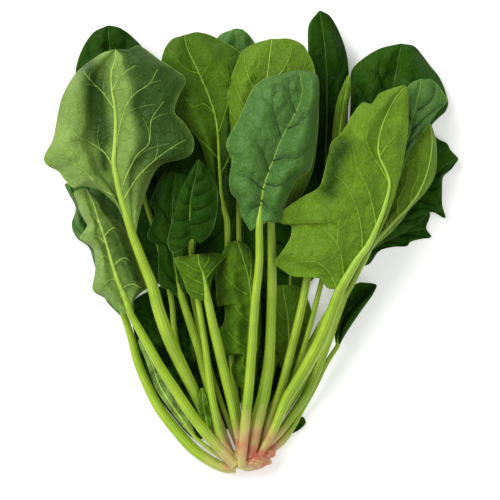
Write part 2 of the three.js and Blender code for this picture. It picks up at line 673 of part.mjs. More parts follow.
// The root crown: the joined stalk bases, the cut root and two knobs, cut flat where it rests
function crown() {
  const knobs = [
    { at: [250, 460], height: 9, half: [14, 7.5, 10.3] },
    { at: [254, 462], height: 16, half: [5.5, 3.6, 4] },
    { at: [267, 454], height: 13, half: [6, 3.4, 4] },
  ];
  const parts = knobs.map(({ at, height, half }) => {
    const middle = place(at, height);
    return Manifold.sphere(1, 16).scale(half).translate(middle.toArray());
  });
  for (const leaf of Object.values(leaves)) {
    const { route, length, collar } = routeOf(leaf);
    parts.push(manifoldOf(tube(route, leaf.radii, 0, collar - clearance / length, 3)));
  }
  return geometryOf(Manifold.union(parts).trimByPlane([0, 0, 1], 0));
}

function part(name, geometry, look) {
  const material = new THREE.MeshStandardMaterial({ ...looks[look], metalness: 0 });
  const mesh = new THREE.Mesh(geometry, material);
  mesh.name = name;
  return mesh;
}

const bunch = new THREE.Group();
bunch.name = 'spinach_bunch';
for (const [name, leaf] of Object.entries(leaves)) {
  bunch.add(part(`${name}_blade`, blade(leaf), leaf.look));
  bunch.add(part(`${name}_stalk`, stalk(leaf), 'stalk'));
}
bunch.add(part('crown', crown(), 'crown'));

export default bunch;
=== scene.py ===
"""A bunch of spinach: fine leaves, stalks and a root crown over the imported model, in metres."""
import math

import bpy
import numpy as np
from mathutils.kdtree import KDTree
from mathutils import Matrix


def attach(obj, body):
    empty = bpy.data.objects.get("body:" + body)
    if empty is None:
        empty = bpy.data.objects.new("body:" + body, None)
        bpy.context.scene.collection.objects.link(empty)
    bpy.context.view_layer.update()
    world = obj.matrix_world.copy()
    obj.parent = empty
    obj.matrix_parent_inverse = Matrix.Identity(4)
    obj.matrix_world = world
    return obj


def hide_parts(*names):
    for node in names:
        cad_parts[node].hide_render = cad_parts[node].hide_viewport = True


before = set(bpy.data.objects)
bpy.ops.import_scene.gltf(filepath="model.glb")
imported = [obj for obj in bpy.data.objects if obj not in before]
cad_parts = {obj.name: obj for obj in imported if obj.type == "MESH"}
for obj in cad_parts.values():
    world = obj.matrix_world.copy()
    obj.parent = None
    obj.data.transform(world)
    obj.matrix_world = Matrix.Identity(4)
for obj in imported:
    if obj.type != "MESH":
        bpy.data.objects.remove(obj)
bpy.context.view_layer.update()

# The plan grid, in mm: columns run to the right and rows run towards the root
BUNCH_LENGTH = 300
ROWS_IN_LENGTH = 462
GRID_STEP = BUNCH_LENGTH / ROWS_IN_LENGTH
MIDDLE_COLUMN = 253.8
MIDDLE_ROW = 242.74
CROWN_PLACE = (250, 458)
CROWN_HEIGHT = 22
# One millimetre in metres
MM = 0.001

# Sizes of the leaves and stalks, in mm
BLADE_THICKNESS = 0.6
TIP_HALF_WIDTH = 1.2
BASE_WIDENING = 1.1
LEAST_UPWARD = 0.35
GRID_SIZE = 1.15
COLLAR_RADIUS = 23
COLLAR_LAP = 1.2

# The photograph's frame: its middle on the plan grid and the grid steps across it
FRAME_MIDDLE = (250, 250)
FRAME_STEPS = 500
# The camera's height and that of the leaves it is set for, in metres
CAMERA_HEIGHT = 6
SUBJECT_HEIGHT = 0.03

# Every leaf has three rails from base to tip, as grid points: its left margin, its midrib and its
# right margin. rise is the midrib's height at even shares of its length, and across is added to it
# at even shares of the width, from the left margin to the right one. waves is how many waves the
# margins have and how high they are, and lead moves the midrib's points ahead of the margins'. The
# stalk runs from the root to the blade, and radii are its radii at even shares of its length. A line
# is written as column,row for each point, or column,row,height. Heights and radii are in mm.
LEAVES = {
    "left_front": dict(
        look="under", waves=[5, 1.5], lead=0.11, rise=[45, 47, 49, 50, 50, 48],
        across=[-5, 4, -1, 0, 2, 4, -5], radii=[2.6, 3.2, 3.9, 4.1, 3.6, 2.8],
        left="123,218 117,206 109,198 100,191 83,186 74,188 65,180 59,172 48,166 44,159 53,140 58,115 "
             "63,96 75,75 90,62 104,53",
        midrib="133,236 127,217 121,198 117,180 114,163 115,148 116,124 115,107 112,88 112,72 116,59 "
               "116,50",
        right="139,218 147,190 160,166 183,159 192,153 194,140 185,124 175,112 179,96 186,80 175,70 "
              "161,61 139,46 128,50",
        stalk="232,466,10 222,450,11 207,420,12.5 196,396,14.5 180,363,24 169,339,33 159,311,37 "
              "152,285,40 144,265,42 133,236,45"),
    "left_low": dict(
        look="under", waves=[6, 1.6], rise=[30, 30, 31, 33, 33, 32], across=[-5, 2, 0, 3, -7],
        radii=[3, 3.5, 3.4, 3, 2.4],
        left="116,309 109,301 95,293 92,288 95,270 93,249 80,238 87,226 81,214 77,202 74,192",
        midrib="131,315 124,296 117,279 111,260 105,239 99,221 93,202 86,188",
        right="134,301 142,292 150,286 145,280 138,260 129,237 121,225 109,213 99,199",
        stalk="235,466,18 223,453,20 207,435,23 191,414,25 175,390,26 159,365,27 144,338,28 131,315,30"),
    "left_outer": dict(
        look="upper", waves=[5, 1.2], rise=[11, 12, 13, 13, 12], across=[-3, 2, 0, 2, -3],
        radii=[3.4, 3.6, 3.4, 2.9, 2.2],
        left="105,300 98,280 93,262 88,247 76,238 71,225 75,208 69,195 64,184",
        midrib="124,317 112,290 98,255 86,220 77,197 70,182",
        right="131,285 130,246 124,212 106,190 82,181",
        stalk="236,469,8 223,468,8 207,460,8 191,448,8 175,430,8 159,409,9 147,386,9 137,362,10 "
              "131,339,10 124,317,11"),
    "left_back": dict(
        look="upper", waves=[3, 1], rise=[15, 17, 19, 20, 20], across=[-4, 2, 0, 2, -4],
        radii=[1.8, 1.9, 1.8, 1.6],
        left="128,175 112,155 92,125 78,95 75,72 81,50 93,32",
        midrib="142,192 132,150 122,110 113,70 109,40 108,25",
        right="152,175 160,148 162,110 156,75 146,52 132,36 119,27",
        stalk="236,463,5 220,442,5 203,412,4.4 188,382,4.4 178,351,5 174,331,7 171,300,11 160,250,13 "
              "142,192,15"),
    "centre_left": dict(
        look="under", waves=[4, 1.2], rise=[27, 27.8, 29.7, 30.7, 30.7, 28.7], across=[-4, 2, 0, 2, -4],
        radii=[1.9, 2.2, 2.3, 1.9],
        left="214,190 206,162 200,143 190,130 177,112 167,90 161,68 164,50 172,39",
        midrib="227,221 221,195 220,178 219,158 218,134 215,115 208,94 198,71 188,50 184,35",
        right="235,195 238,165 240,125 241,95 243,70 241,54 232,46 221,40 208,34 196,32",
        stalk="243,455,7 240,430,8 236,400,10 232,360,13 229,310,17 228,260,22 227,221,27"),
    "rear_small": dict(
        look="upper", waves=[2, 0.8], rise=[12, 13, 15, 16, 16], across=[-2, 1, 0, 1, -2],
        radii=[1.7, 1.8, 1.7, 1.5],
        left="230,135 220,112 213,82 212,52 219,35",
        midrib="238,150 238,110 237,70 237,42 235,28",
        right="246,135 257,112 262,82 261,55 252,38 243,29",
        stalk="244,452,2.6 244,420,3.6 243,380,4.6 241,320,6.5 239,250,9 238,150,12"),
    "centre_lime": dict(
        look="lime", waves=[4, 1.2], rise=[36, 38, 39, 39, 38], across=[-5, 1, 0, 2, -4],
        radii=[3.8, 4.1, 3.3, 3, 2.4],
        left="258,214 243,198 232,170 228,132 226,105 229,86 236,64 242,52 254,44",
        midrib="271,223 268,190 265,150 265,110 267,80 270,55 272,39",
        right="284,214 300,198 313,170 318,130 318,95 314,67 309,55 303,45 290,39",
        stalk="250,458,14 253,443,16 259,414,19 264,394,21 269,361,25 271,320,29 272,271,33 271,223,36"),
    "centre_front": dict(
        look="upper", waves=[4, 1.6], rise=[53, 55, 56, 56, 54], across=[-5, 1, 1, 0, 1, 2, -6],
        radii=[3.2, 3.2, 3, 2.7, 2.4],
        left="251,231 246,224 241,215 238,201 231,193 229,180 232,158 227,150 227,141 231,133 239,119 "
             "245,105 252,90 260,82 274,76 288,73",
        midrib="259,226 262,196 269,172 277,150 285,132 296,112 302,93 299,71",
        right="268,222 278,222 284,207 291,190 298,179 309,171 313,159 316,135 318,112 319,89 317,76 "
              "308,72",
        stalk="241,468,17 243,445,22 246,415,27 249,385,33 252,345,39 255,302,44 259,262,48 259,226,52.6"),
    "right_front": dict(
        look="under", waves=[6, 1.8], rise=[44, 46, 49, 51, 52, 52, 50], across=[-6, 1, 4, 0, 1, 1, -3],
        radii=[2.2, 3, 3.7, 3.8, 3.2],
        left="327,288 320,279 304,277 293,276 281,269 275,262 281,253 290,238 291,226 282,224 278,221 "
             "284,210 304,196 319,187 324,172 328,156 331,143 342,132 352,115 362,103 371,104 379,94 "
             "394,88",
        midrib="339,291 348,275 357,260 368,245 376,228 384,207 389,184 385,170 379,157 378,142 384,120 "
               "394,100 405,86",
        right="352,278 362,262 372,249 381,230 389,212 396,190 403,160 407,135 408,112 408,96",
        stalk="260,456,16 275,427,20 286,400,24 300,377,28 312,356,32 322,336,36 330,315,40 339,291,44"),
    "right_second": dict(
        look="under", waves=[4, 1], rise=[27, 29, 30, 31, 31, 30], across=[-2, 1, 0, -2, -5],
        radii=[1.8, 1.9, 1.9, 1.7],
        left="371,236 383,222 391,202 395,175 400,150 409,131 420,123",
        midrib="369,249 380,236 394,221 408,207 420,190 429,165 432,142 430,124",
        right="384,239 396,228 411,208 424,194 434,178 437,164 436,140",
        stalk="259,453,9 271,436,13 284,412,16 300,385,19 314,360,23 327,335,25 339,308,27 354,280,27 "
              "369,249,27"),
    "right_flap": dict(
        look="upper", waves=[2, 0.8], rise=[38, 38, 39, 39], across=[-1, 1, 0, 1, -2],
        radii=[1.6, 1.7, 1.6, 1.5],
        left="389,180 392,150 396,120 401,97 410,84",
        midrib="387,194 399,163 408,137 414,112 419,92 421,79",
        right="399,180 408,155 418,139 428,125 438,111 447,101 441,90 432,80",
        stalk="256,455,3 268,425,3.5 280,399,4.5 296,368,8 312,340,13 328,312,19 348,286,23 364,262,22 "
              "375,236,21 382,213,27 387,194,35.5"),
    "tall_back": dict(
        look="upper", waves=[3, 1], rise=[22, 19, 17, 16, 15], across=[-3, 1, 0, 1, -3],
        radii=[2.5, 2.8, 2.6, 2.2],
        left="314,175 309,150 307,120 309,80 308,45 309,24",
        midrib="325,200 326,160 327,120 327,80 325,45 320,10",
        right="338,175 345,150 348,120 349,90 349,67 346,49 339,30 330,15",
        stalk="256,453,9 263,441,11 273,412,14 283,382,18 291,351,22 301,310,26 307,279,27 315,240,25 "
              "325,200,22"),
    "lime_sliver": dict(
        look="lime", waves=[2, 0.6], rise=[27, 27, 27, 27], across=[-3, 1, 0, 0, -2],
        radii=[1.5, 1.7, 1.7, 1.5],
        left="330,165 332,140 334,118 338,98 343,85",
        midrib="333,183 338,150 341,120 345,95 349,75",
        right="339,165 343,145 346,122 349,103 351,88",
        stalk="257,454,5.5 270,430,7 283,403,9 295,372,13 304,347,19 317,300,22 326,260,25 331,215,26 "
              "333,183,27"),
    "right_back": dict(
        look="upper", waves=[3, 1.4], rise=[14, 15, 16, 16, 15], across=[-3, 2, 0, 2, -8],
        radii=[2.6, 2.6, 2.4, 2, 1.6],
        left="354,180 348,155 350,120 351,90 352,70 362,59 380,48",
        midrib="368,203 376,165 384,130 391,100 396,75 402,43",
        right="392,180 414,152 433,124 441,116 447,110 449,101 441,78 431,65 422,53 414,45",
        stalk="260,453,6 279,434,7.5 291,418,10 307,394,12 318,370,13 328,343,15 335,324,16 346,292,16 "
              "356,258,15 368,203,14"),
    "right_rear": dict(
        look="upper", waves=[3, 1], rise=[9, 9, 9, 8], across=[-3, 1, 0, 1, -3], radii=[1.6, 1.7, 1.6, 1.4],
        left="376,222 388,200 402,172 419,145 431,133 440,139 448,143 451,149",
        midrib="378,238 395,222 415,200 432,178 447,164 459,158",
        right="386,241 404,233 420,222 432,212 446,218 443,205 443,191 444,177 452,169",
        stalk="258,453,3 280,420,4 303,385,6 318,350,8 330,315,9 344,285,10 360,262,10 378,238,9"),
    "right_low": dict(
        look="upper", waves=[3, 0.6], rise=[4, 3, 2, 2], across=[0, 0, 0, 0, -1],
        radii=[1.6, 1.6, 1.5, 1.4],
        left="368,240 385,222 405,212 422,208 431,213",
        midrib="358,266 372,250 390,239 410,231 427,228",
        right="370,264 380,251 394,247 408,246 411,242 422,239 432,237",
        stalk="264,453,2.2 284,425,2.2 306,390,2.4 321,352,3 334,312,3.5 345,285,4 358,266,4"),
    "right_small": dict(
        look="upper", waves=[2, 0.6], rise=[9, 8, 8, 9], across=[3, 1, 0, 5, 7], radii=[1.9, 1.9, 1.8, 1.5],
        left="335,336 337,322 343,304 350,290 358,283 371,283",
        midrib="338,346 339,334 342,322 348,312 356,303 365,294 377,285",
        right="345,336 354,322 363,309 373,295",
        stalk="264,456,5 280,443,5 292,429,5 301,412,6.5 314,389,8 326,365,8 338,346,9"),
    "small_front": dict(
        look="upper", waves=[3, 1.2], rise=[52, 54, 56, 56], across=[-3, 1, 0, 1, -4],
        radii=[2.6, 2.6, 2.2, 2, 1.6],
        left="184,248 173,253 168,244 170,230 174,217 180,195 190,173",
        midrib="192,239 191,228 190,215 191,200 195,180 199,160",
        right="200,243 211,233 216,219 218,200 217,188 212,177 205,166",
        stalk="236,465,11 229,453,14 221,440,17 215,414,21 210,385,25 205,345,29 199,306,33 195,280,34 "
              "192,257,36 191,248,38.5 192,239,49"),
    "small_lime": dict(
        look="lime", waves=[2, 0.6], rise=[42, 44, 45, 45], across=[-3, 1, 0, -3, -12],
        radii=[2.6, 3, 3.2, 3.2, 2.6],
        left="196,299 188,293 184,282 180,273 175,262 175,258 185,256",
        midrib="208,301 206,287 203,273 199,263 198,254",
        right="211,291 213,277 219,266 225,257 220,254 210,253",
        stalk="239,462,11 239,440,14 236,425,17 232,405,21 226,380,26 219,350,32 213,325,37 208,301,42"),
    "left_folded": dict(
        look="upper", waves=[5, 1.4], rise=[21, 24, 26, 26, 25], across=[-5, 2, 0, 2, -3],
        radii=[1.9, 2.3, 2.8, 2.9, 2.4],
        left="169,290 160,286 158,265 157,245 149,240 147,234 152,222 155,212 150,204 155,190 160,178 "
             "168,172",
        midrib="182,299 177,280 174,262 172,240 172,215 174,190 176,172",
        right="190,282 193,260 196,240 197,215 193,195 187,177",
        stalk="234,462,8 226,440,9 215,410,11 204,372,14 199,351,16 191,326,18 182,299,21"),
    "lower_centre": dict(
        look="under", waves=[5, 1.5], rise=[18, 24, 29, 31, 31], across=[-6, 2, 0, 1, -3],
        radii=[1.8, 1.9, 1.7],
        left="238,386 231,369 236,355 224,356 220,345 219,331 224,322 224,306 218,306 216,290 216,272 "
             "220,258 228,244",
        midrib="249,395 252,370 253,340 252,310 249,280 243,258 237,240",
        right="256,378 260,345 261,310 259,285 254,262 249,248",
        stalk="248,454,9 249,425,12 249,395,18"),
    "lower_right": dict(
        look="under", waves=[4, 1], rise=[11, 14, 15, 15], across=[-2, 1, 0, 1, -3], radii=[1.7, 1.7, 1.6],
        left="276,358 270,330 268,300 273,286",
        midrib="286,374 289,345 288,318 285,300 283,285",
        right="297,360 303,345 310,325 311,308 302,290 294,285",
        stalk="253,452,7 262,430,8 275,400,10 286,374,11"),
    "low_left_dark": dict(
        look="upper", waves=[4, 0.5], rise=[1.4, 1.1, 1, 1], across=[0, 0.2, 0, 0.2, 0],
        radii=[1.4, 1.3, 1.2],
        left="196,441 173,418 153,390 140,358 132,326 131,304 149,291",
        midrib="212,433 202,400 194,360 189,325 186,278",
        right="226,431 237,414 243,392 247,345 245,300 223,277",
        stalk="236,461,3 223,446,1.6 212,433,1.5"),
    "low_left_edge": dict(
        look="under", waves=[6, 0.5], rise=[16, 17, 18, 18], across=[-1, 0, 0, 0, 1], radii=[1.4, 1.4, 1.3],
        left="181,425 168,408 155,388 146,362 138,342",
        midrib="195,438 185,424 173,407 160,387 151,362 140,338",
        right="189,421 178,405 166,385 156,360 145,342",
        stalk="232,465,12 214,453,14 195,438,16"),
    "low_curl": dict(
        look="upper", waves=[4, 0.6], rise=[17.5, 18.5, 20, 20.5], across=[0, 0, 0, 0, 1],
        radii=[1.3, 1.3, 1.2],
        left="202,421 198,406 199,396 200,390",
        midrib="209,436 206,420 203,403 202,388",
        right="211,420 208,404 205,393",
        stalk="231,463,13 218,448,15 209,437,17.5"),
    "back_left": dict(
        look="upper", waves=[3, 0.8], rise=[5, 5, 6, 6, 5], across=[-5, 1, 0, 1, 0],
        radii=[1.7, 1.8, 1.7, 1.5],
        left="158,284 140,272 125,238 112,180 106,135 118,102 140,88",
        midrib="190,288 180,240 168,190 158,140 154,90",
        right="215,279 240,258 243,215 236,165 214,118 186,92",
        stalk="242,458,2.4 227,420,4.1 210,370,4.6 197,320,4.8 190,288,5"),
    "back_right": dict(
        look="upper", waves=[3, 0.8], rise=[5, 5, 5, 5, 5], across=[-3, 1, 0, 1, -5],
        radii=[1.7, 1.8, 1.7, 1.5],
        left="262,288 240,266 236,225 244,172 264,122 290,92",
        midrib="290,298 292,250 296,200 302,150 311,89",
        right="316,276 336,235 348,190 348,140 334,104",
        stalk="250,452,2.2 262,410,4.2 276,360,4.6 286,325,4.8 290,298,5"),
    "inner_right": dict(
        look="upper", waves=[3, 0.4], rise=[1.5, 1.2, 1.1, 1.1], across=[0, 0.2, 0, 0.2, 0],
        radii=[1.3, 1.3, 1.2],
        left="247,408 245,385 250,345 250,315 254,289",
        midrib="254,415 262,385 268,350 272,320 276,282",
        right="270,419 288,408 297,384 299,350 299,325 297,290",
        stalk="250,456,2 252,436,1.6 254,415,1.5"),
    "sprout": dict(
        look="upper", waves=[2, 0.4], rise=[1.8, 1.9, 2, 2.2], across=[-0.6, 0, 0.6], radii=[1.2, 1.2, 1],
        left="291,426 296,419",
        midrib="291,434 296,428 300,423 304,418",
        right="299,431 306,424",
        stalk="264,456,2 281,446,1.7 291,434,2"),
}

# Main side veins seen in the photograph, each from the midrib outwards, with / between them
VEINS = {
    "left_front": (
        "116,150 120,128 127,106 136,94 150,84 158,70 / 121,194 127,176 137,156 149,144 152,120 164,102 / "
        "114,168 105,153 89,142 76,135 70,122 / 119,198 109,193 98,186 86,172 66,160 / 115,110 104,94 92,82 "
        "84,72 / 112,92 122,76 136,66 / 124,200 136,180 152,163 172,148 186,140"),
    "left_low": (
        "112,262 104,256 98,262 97,276 / 106,243 96,236 90,240 / 100,224 92,214 86,206 / 117,280 109,280 "
        "102,288 / 113,266 124,258 134,264 / 104,236 113,228 122,232 / 121,289 131,284 142,288"),
    "centre_left": (
        "214,113 204,104 193,107 184,96 / 219,160 209,148 199,138 190,128 / 219,132 226,110 230,88 226,66 / "
        "207,90 201,78 208,66 212,54 / 200,74 188,70 176,60 / 220,176 228,160 234,140"),
    "centre_front": (
        "281,139 276,122 272,106 276,86 / 273,161 284,158 297,158 308,148 / 269,172 264,158 259,147 250,136 "
        "/ 264,190 256,184 249,178 240,176 / 295,113 290,100 288,88 289,78 / 287,129 298,124 310,112 / "
        "266,184 276,186 286,182 296,172 / 260,205 252,208 246,216 / 261,200 268,208 276,214"),
    "right_front": (
        "362,252 361,230 355,205 343,182 335,176 / 343,286 342,262 337,244 323,229 308,222 / 338,292 "
        "333,280 327,270 316,262 300,262 / 389,184 380,168 372,156 366,140 368,124 / 376,228 372,206 "
        "366,186 356,166 352,146 / 337,244 338,228 340,214 / 379,157 388,144 398,134"),
    "right_back": (
        "386,122 376,108 366,98 358,84 / 392,98 382,84 378,70 380,58 / 389,110 400,106 414,108 428,104 / "
        "393,90 406,88 412,82 414,72 / 382,138 370,126 360,112"),
    "right_second": (
        "398,217 398,200 406,184 408,168 / 410,205 412,190 418,176 418,160 / 386,230 388,214 394,200"),
}
# Lengthwise folds of the main leaves: shares across the blade and the extra heights there, in mm
FOLDS = {
    "left_front": "-1,-1 -0.5,3 -0.36,-3 0,0 0.3,3 0.45,-2 1,-1",
    "left_low": "-1,0 -0.5,2 -0.2,-1 0,1 0.35,-2 0.6,1 1,-2",
    "right_front": "-1,2 -0.72,-2.5 -0.53,-1 -0.47,1.5 0,0 0.5,-1.5 1,0",
    "centre_left": "-1,-1 -0.5,1.5 0,-1 0.4,1.5 1,-2",
    "centre_front": "-1,-1 -0.5,0.8 0,-1.2 0.5,0.8 1,-2",
    "right_small": "-1,0 0.4,-1 0.56,2 0.75,1 1,-1",
    "tall_back": "-1,0 -0.84,1.5 -0.68,-1 0,0 0.5,1.5 1,-1",
    "centre_lime": "-1,-2 -0.6,1 -0.3,-1.5 0,0 0.5,1.5 1,-2",
    "right_back": "-1,-2 -0.5,2 0,-1 0.5,2 1,-3",
    "lower_centre": "-1,-1 -0.5,2 -0.2,-1 0.4,1 1,-1",
}
# Extra height of the uneven swelling of crumpled blades
CRUMPLES = {"low_left_dark": 4.5, "low_left_edge": 2.5, "low_curl": 2.8, "left_low": 1.6, "lower_centre": 2,
            "centre_front": 1.2, "right_rear": 1.6, "small_lime": 1.3, "left_back": 1.5, "small_front": 1.4,
            "inner_right": 3, "tall_back": 1.4}
# How much painted shade darkens a hollow of a crumpled blade
PAINTED_HOLLOW_SHADE = 0.3
# How strongly the blades swell between their veins, where that isn't 1
QUILTS = {"centre_front": 1.75, "small_front": 1.3, "rear_small": 1.4, "right_flap": 1.4, "left_outer": 1.4}

# Painted shade across the width of some blades, where their folds lie in shade: shares across the blade and
# the tones there
PAINTED_SHADE_TONES = {
    "left_front": "-1,1 -0.3,1 -0.2,0.7 0,0.85 0.06,1 0.2,1 0.32,0.2 0.5,0 0.88,0.05 1,0.25",
    "left_low": "-1,1 0,1 0.15,0.5 0.5,0.4 1,0.7",
    "centre_left": "-1,0.75 -0.4,0.6 0,0.6 0.3,0.85 1,0.6",
    "centre_front": "-1,0.85 -0.6,1 -0.1,0.75 0,0.85 0.15,0.8 0.6,1 1,0.7",
    "right_second": "-1,1 -0.2,1 0,0.8 1,1",
    "right_small": "-1,0.8 0.1,0.7 0.45,0.7 0.55,1 1,1",
    "tall_back": "-1,1 -0.86,1 -0.7,0.6 0.3,0.6 1,0.45",
    "low_left_dark": "-1,0.9 0,0.6 1,0.4",
    "left_back": "-1,0.85 0,0.6 1,0.75",
    "small_front": "-1,0.8 0,0.7 1,0.8",
    "centre_lime": "-1,0.8 -0.5,1 0,0.8 1,0.95",
    "small_lime": "-1,1 0.1,0.85 0.35,0.45 1,0.4",
    "lower_centre": "-1,0.8 -0.4,1 0.3,0.7 1,0.6",
}
# Soft bands of painted shade in the folds of some blades: a line of grid points, its half width in mm and
# its depth
SHADOWS = {
    "left_front": [("89,66 94,90 97,116 101,138", 8, 1), ("101,138 104,168", 4, 0.8)],
    "right_front": [("329,192 334,165 343,146", 7, 0.9)],
    "centre_left": [("238,115 232,145 228,175", 9, 0.8)],
    "left_low": [("116,240 128,262 138,282", 6, 0.3)],
}
# Painted shade at the base of a blade: the tone there, where it isn't the one further up
PAINTED_BASE_TONES = {"left_front": 1, "left_low": 0.9, "centre_left": 0.1, "centre_lime": 0.3}
# How far up a blade, as a share of its length, the painted base shade gives way to the tone further up
BASE_SHARE = 0.42
RULE_VEINS = 5
NARROW_HALF_WIDTH = 10
VEIN_SPACING = 5
VEIN_RADIUS = 0.52
VEIN_STEP = 1.1
VEIN_SIDES = 6
EDGE_SHARE = 0.85
VEIN_SINK = {True: -0.6, False: 0.3}
BRANCH_SHARES = (0.36, 0.58, 0.78)
BRANCH_LENGTH = 0.3
PUCKER_HEIGHT = 0.9
PUCKER_REACH = 4.5
GROOVE_DEPTH = 0.45
GROOVE_REACH = 1.3
# How far from a vein the painted shade of the relief along it reaches, in mm
PAINTED_VEIN_SHADE_REACH = 2.2
SWELL_HEIGHT = 0.5
# How quickly puckers and folds grow from the margins and the ends of a blade
MARGIN_EASE = 5
END_EASE = 8
FOLD_BASE_EASE = 4
FOLD_TIP_EASE = 2.5
SWELL_LENGTHS = (31, 22, 14, 9, 6.5)
BORDER_WIDTH = 0.7
RIB_TIP_RADIUS = 0.3
RIB_FALL = 1.9
RIB_HOLD = 7
# The knobs of the root: the grid point of each, its height and its half sizes in mm
KNOBS = [((250, 460), 9, (13.6, 7.3, 10)), ((254, 462), 16, (5.5, 3.6, 4)), ((267, 454), 13, (6, 3.4, 4))]
KNOB_PINK = 0.85
# How far from the crown's middle the stalks are pale, and from and over what distance they lose their pink
PALE_REACH = 75
PINK_FROM = 6
PINK_REACH = 22
STALK_SIDES = 36
SHARP_ANGLE = 60
STALK_STEP = 1.6
RIDGES = 10
RIDGE_HEIGHT = 0.035


def place(points):
    """Grid points, with heights if they have them, as places in mm."""
    given = np.array(points, float)
    out = np.zeros((len(given), 3))
    out[:, 0] = (given[:, 0] - MIDDLE_COLUMN) * GRID_STEP
    out[:, 1] = (MIDDLE_ROW - given[:, 1]) * GRID_STEP
    if given.shape[1] > 2:
        out[:, 2] = given[:, 2]
    return out


def numbers_of(text):
    """The rows of numbers in a text such as "1,2 3,4"."""
    return np.array([[float(value) for value in row.split(",")] for row in text.split()])


def line_of(text):
    """A line's places in mm, from its text."""
    return place(numbers_of(text))


def reach_of(points):
    """The distance along a line to each of its points."""
    return np.concatenate(([0], np.cumsum(np.linalg.norm(np.diff(points, axis=0), axis=1))))


def smooth(values, stops, goals):
    """The values at the goals of a smooth curve that has the given values at the stops."""
    last = len(stops) - 1
    i = np.clip(np.searchsorted(stops, goals) - 1, 0, last - 1)
    shape = (-1,) + (1,) * (values.ndim - 1)
    span = (stops[i + 1] - stops[i]).reshape(shape)
    part = (goals - stops[i]).reshape(shape) / span

    def slope(k):
        before, after = np.maximum(k - 1, 0), np.minimum(k + 1, last)
        return (values[after] - values[before]) / (stops[after] - stops[before]).reshape(shape) * span

    square, cube = part ** 2, part ** 3
    return (values[i] * (2 * cube - 3 * square + 1) + slope(i) * (cube - 2 * square + part)
            + values[i + 1] * (3 * square - 2 * cube) + slope(i + 1) * (cube - square))


def along(points, shares):
    """The points at shares of the length of a smooth curve through the points."""
    points = np.asarray(points, float)
    reach = reach_of(points)
    return smooth(points, reach, np.atleast_1d(shares) * reach[-1])


def level(values, shares):
    """The values at shares of a smooth curve through evenly spaced values."""
    last = len(values) - 1
    return smooth(np.asarray(values, float), np.arange(last + 1), np.asarray(shares, float) * last)


def rails_of(leaf):
    """The midrib and both margins in mm, with a short first and last row as in the CAD."""
    midrib = line_of(leaf["midrib"])

    def end(at, after, half_width, margin, sign):
        course = unit(midrib[after] - midrib[at])
        square = np.array([-course[1], course[0], 0]) * sign
        return midrib[at] + unit(square + unit(margin - midrib[at])) * half_width

    rails = {"midrib": midrib}
    for side, sign in (("left", 1), ("right", -1)):
        margin = line_of(leaf[side])
        rails[side] = np.vstack((end(0, 1, leaf["radii"][-1] * BASE_WIDENING, margin[0], sign), margin,
                                 end(-1, -2, TIP_HALF_WIDTH, margin[-1], -sign)))
    return rails


def unit(vector):
    return vector / np.linalg.norm(vector)


def spine_of(leaf, rails, u):
    """The midrib's points that belong to shares u of the margins."""
    return along(rails["midrib"], u + leaf.get("lead", 0) * np.sin(math.pi * u))


def half_width(rails):
    """The widest distance from the midrib to a margin, in mm."""
    probe = np.linspace(0, 1, 21)
    spine = along(rails["midrib"], probe)
    return max(np.linalg.norm(along(rails[side], probe) - spine, axis=1).max() for side in ("left", "right"))


def sheet_points(leaf, rails, u, v):
    """The middle of the sheet at shares u from base to tip and v from -1 to 1, in mm."""
    spine = spine_of(leaf, rails, u)[:, None, :]
    left = along(rails["left"], u)[:, None, :]
    right = along(rails["right"], u)[:, None, :]
    margin = np.where((v < 0)[None, :, None], left, right)
    points = spine + (margin - spine) * np.abs(v)[None, :, None]
    fade = np.minimum(1, np.minimum(u * 5, (1.02 - u) * 6))[:, None]
    count, height = leaf["waves"]
    wave = np.abs(v) ** 3 * np.sin(2 * math.pi * (count * u[:, None] + 0.3 * v))
    ripple = np.abs(v) ** 5 * np.sin(2 * math.pi * (2.7 * count * u[:, None] + 0.8 * v))
    points[:, :, 2] = level(leaf["rise"], u)[:, None] + fade * (
        level(leaf["across"], (v + 1) / 2)[None, :] + height * wave + 0.35 * height * ripple)
    return points


def directions(grid):
    """The upward direction at each point of a grid."""
    way = np.cross(np.gradient(grid, axis=1), np.gradient(grid, axis=0))
    return way / np.maximum(np.linalg.norm(way, axis=2, keepdims=True), 1e-9)


def rule_veins(leaf, rails):
    """Side veins in pairs that leave the midrib aslant and bend towards the tip."""
    lines = []
    half = half_width(rails)
    pairs = min(RULE_VEINS, int(half / VEIN_SPACING)) if half > NARROW_HALF_WIDTH else 0
    for pair in range(pairs):
        for sign in (-1, 1):
            start = 0.12 + 0.7 * (pair + 0.2) / pairs + 0.04 * sign
            out = np.linspace(0.1, 0.9, 7)
            u = np.minimum(start + 0.22 * out ** 1.5, 0.99)
            spine = spine_of(leaf, rails, u)
            margin = along(rails["left" if sign < 0 else "right"], u)
            lines.append(spine + (margin - spine) * out[:, None])
    return lines


def branches(line):
    """Finer veins that leave a side vein by turns to its left and right."""
    lines = []
    course = line[-1] - line[0]
    length = np.linalg.norm(course)
    course = course / length
    across = np.array([-course[1], course[0], 0])
    for k, share in enumerate(BRANCH_SHARES):
        foot = along(line, share)[0]
        sign = 1 if k % 2 else -1
        reach = length * BRANCH_LENGTH * (1.15 - share)
        lines.append(np.array([foot, foot + (course * 0.6 + across * sign * 0.35) * reach,
                               foot + (course * 1.2 + across * sign * 1.05) * reach]))
    return lines


def side_veins(name, leaf, rails):
    """Every side vein with its branches, as (points in plan, radius at the foot, radius at the end)."""
    given = VEINS.get(name)
    mains = [line_of(line) for line in given.split("/")] if given else rule_veins(leaf, rails)
    veins = []
    for line in mains:
        veins.append((line, VEIN_RADIUS, 0.4 * VEIN_RADIUS))
        if given:
            veins.extend((branch, 0.45 * VEIN_RADIUS, 0.2 * VEIN_RADIUS) for branch in branches(line))
    return veins


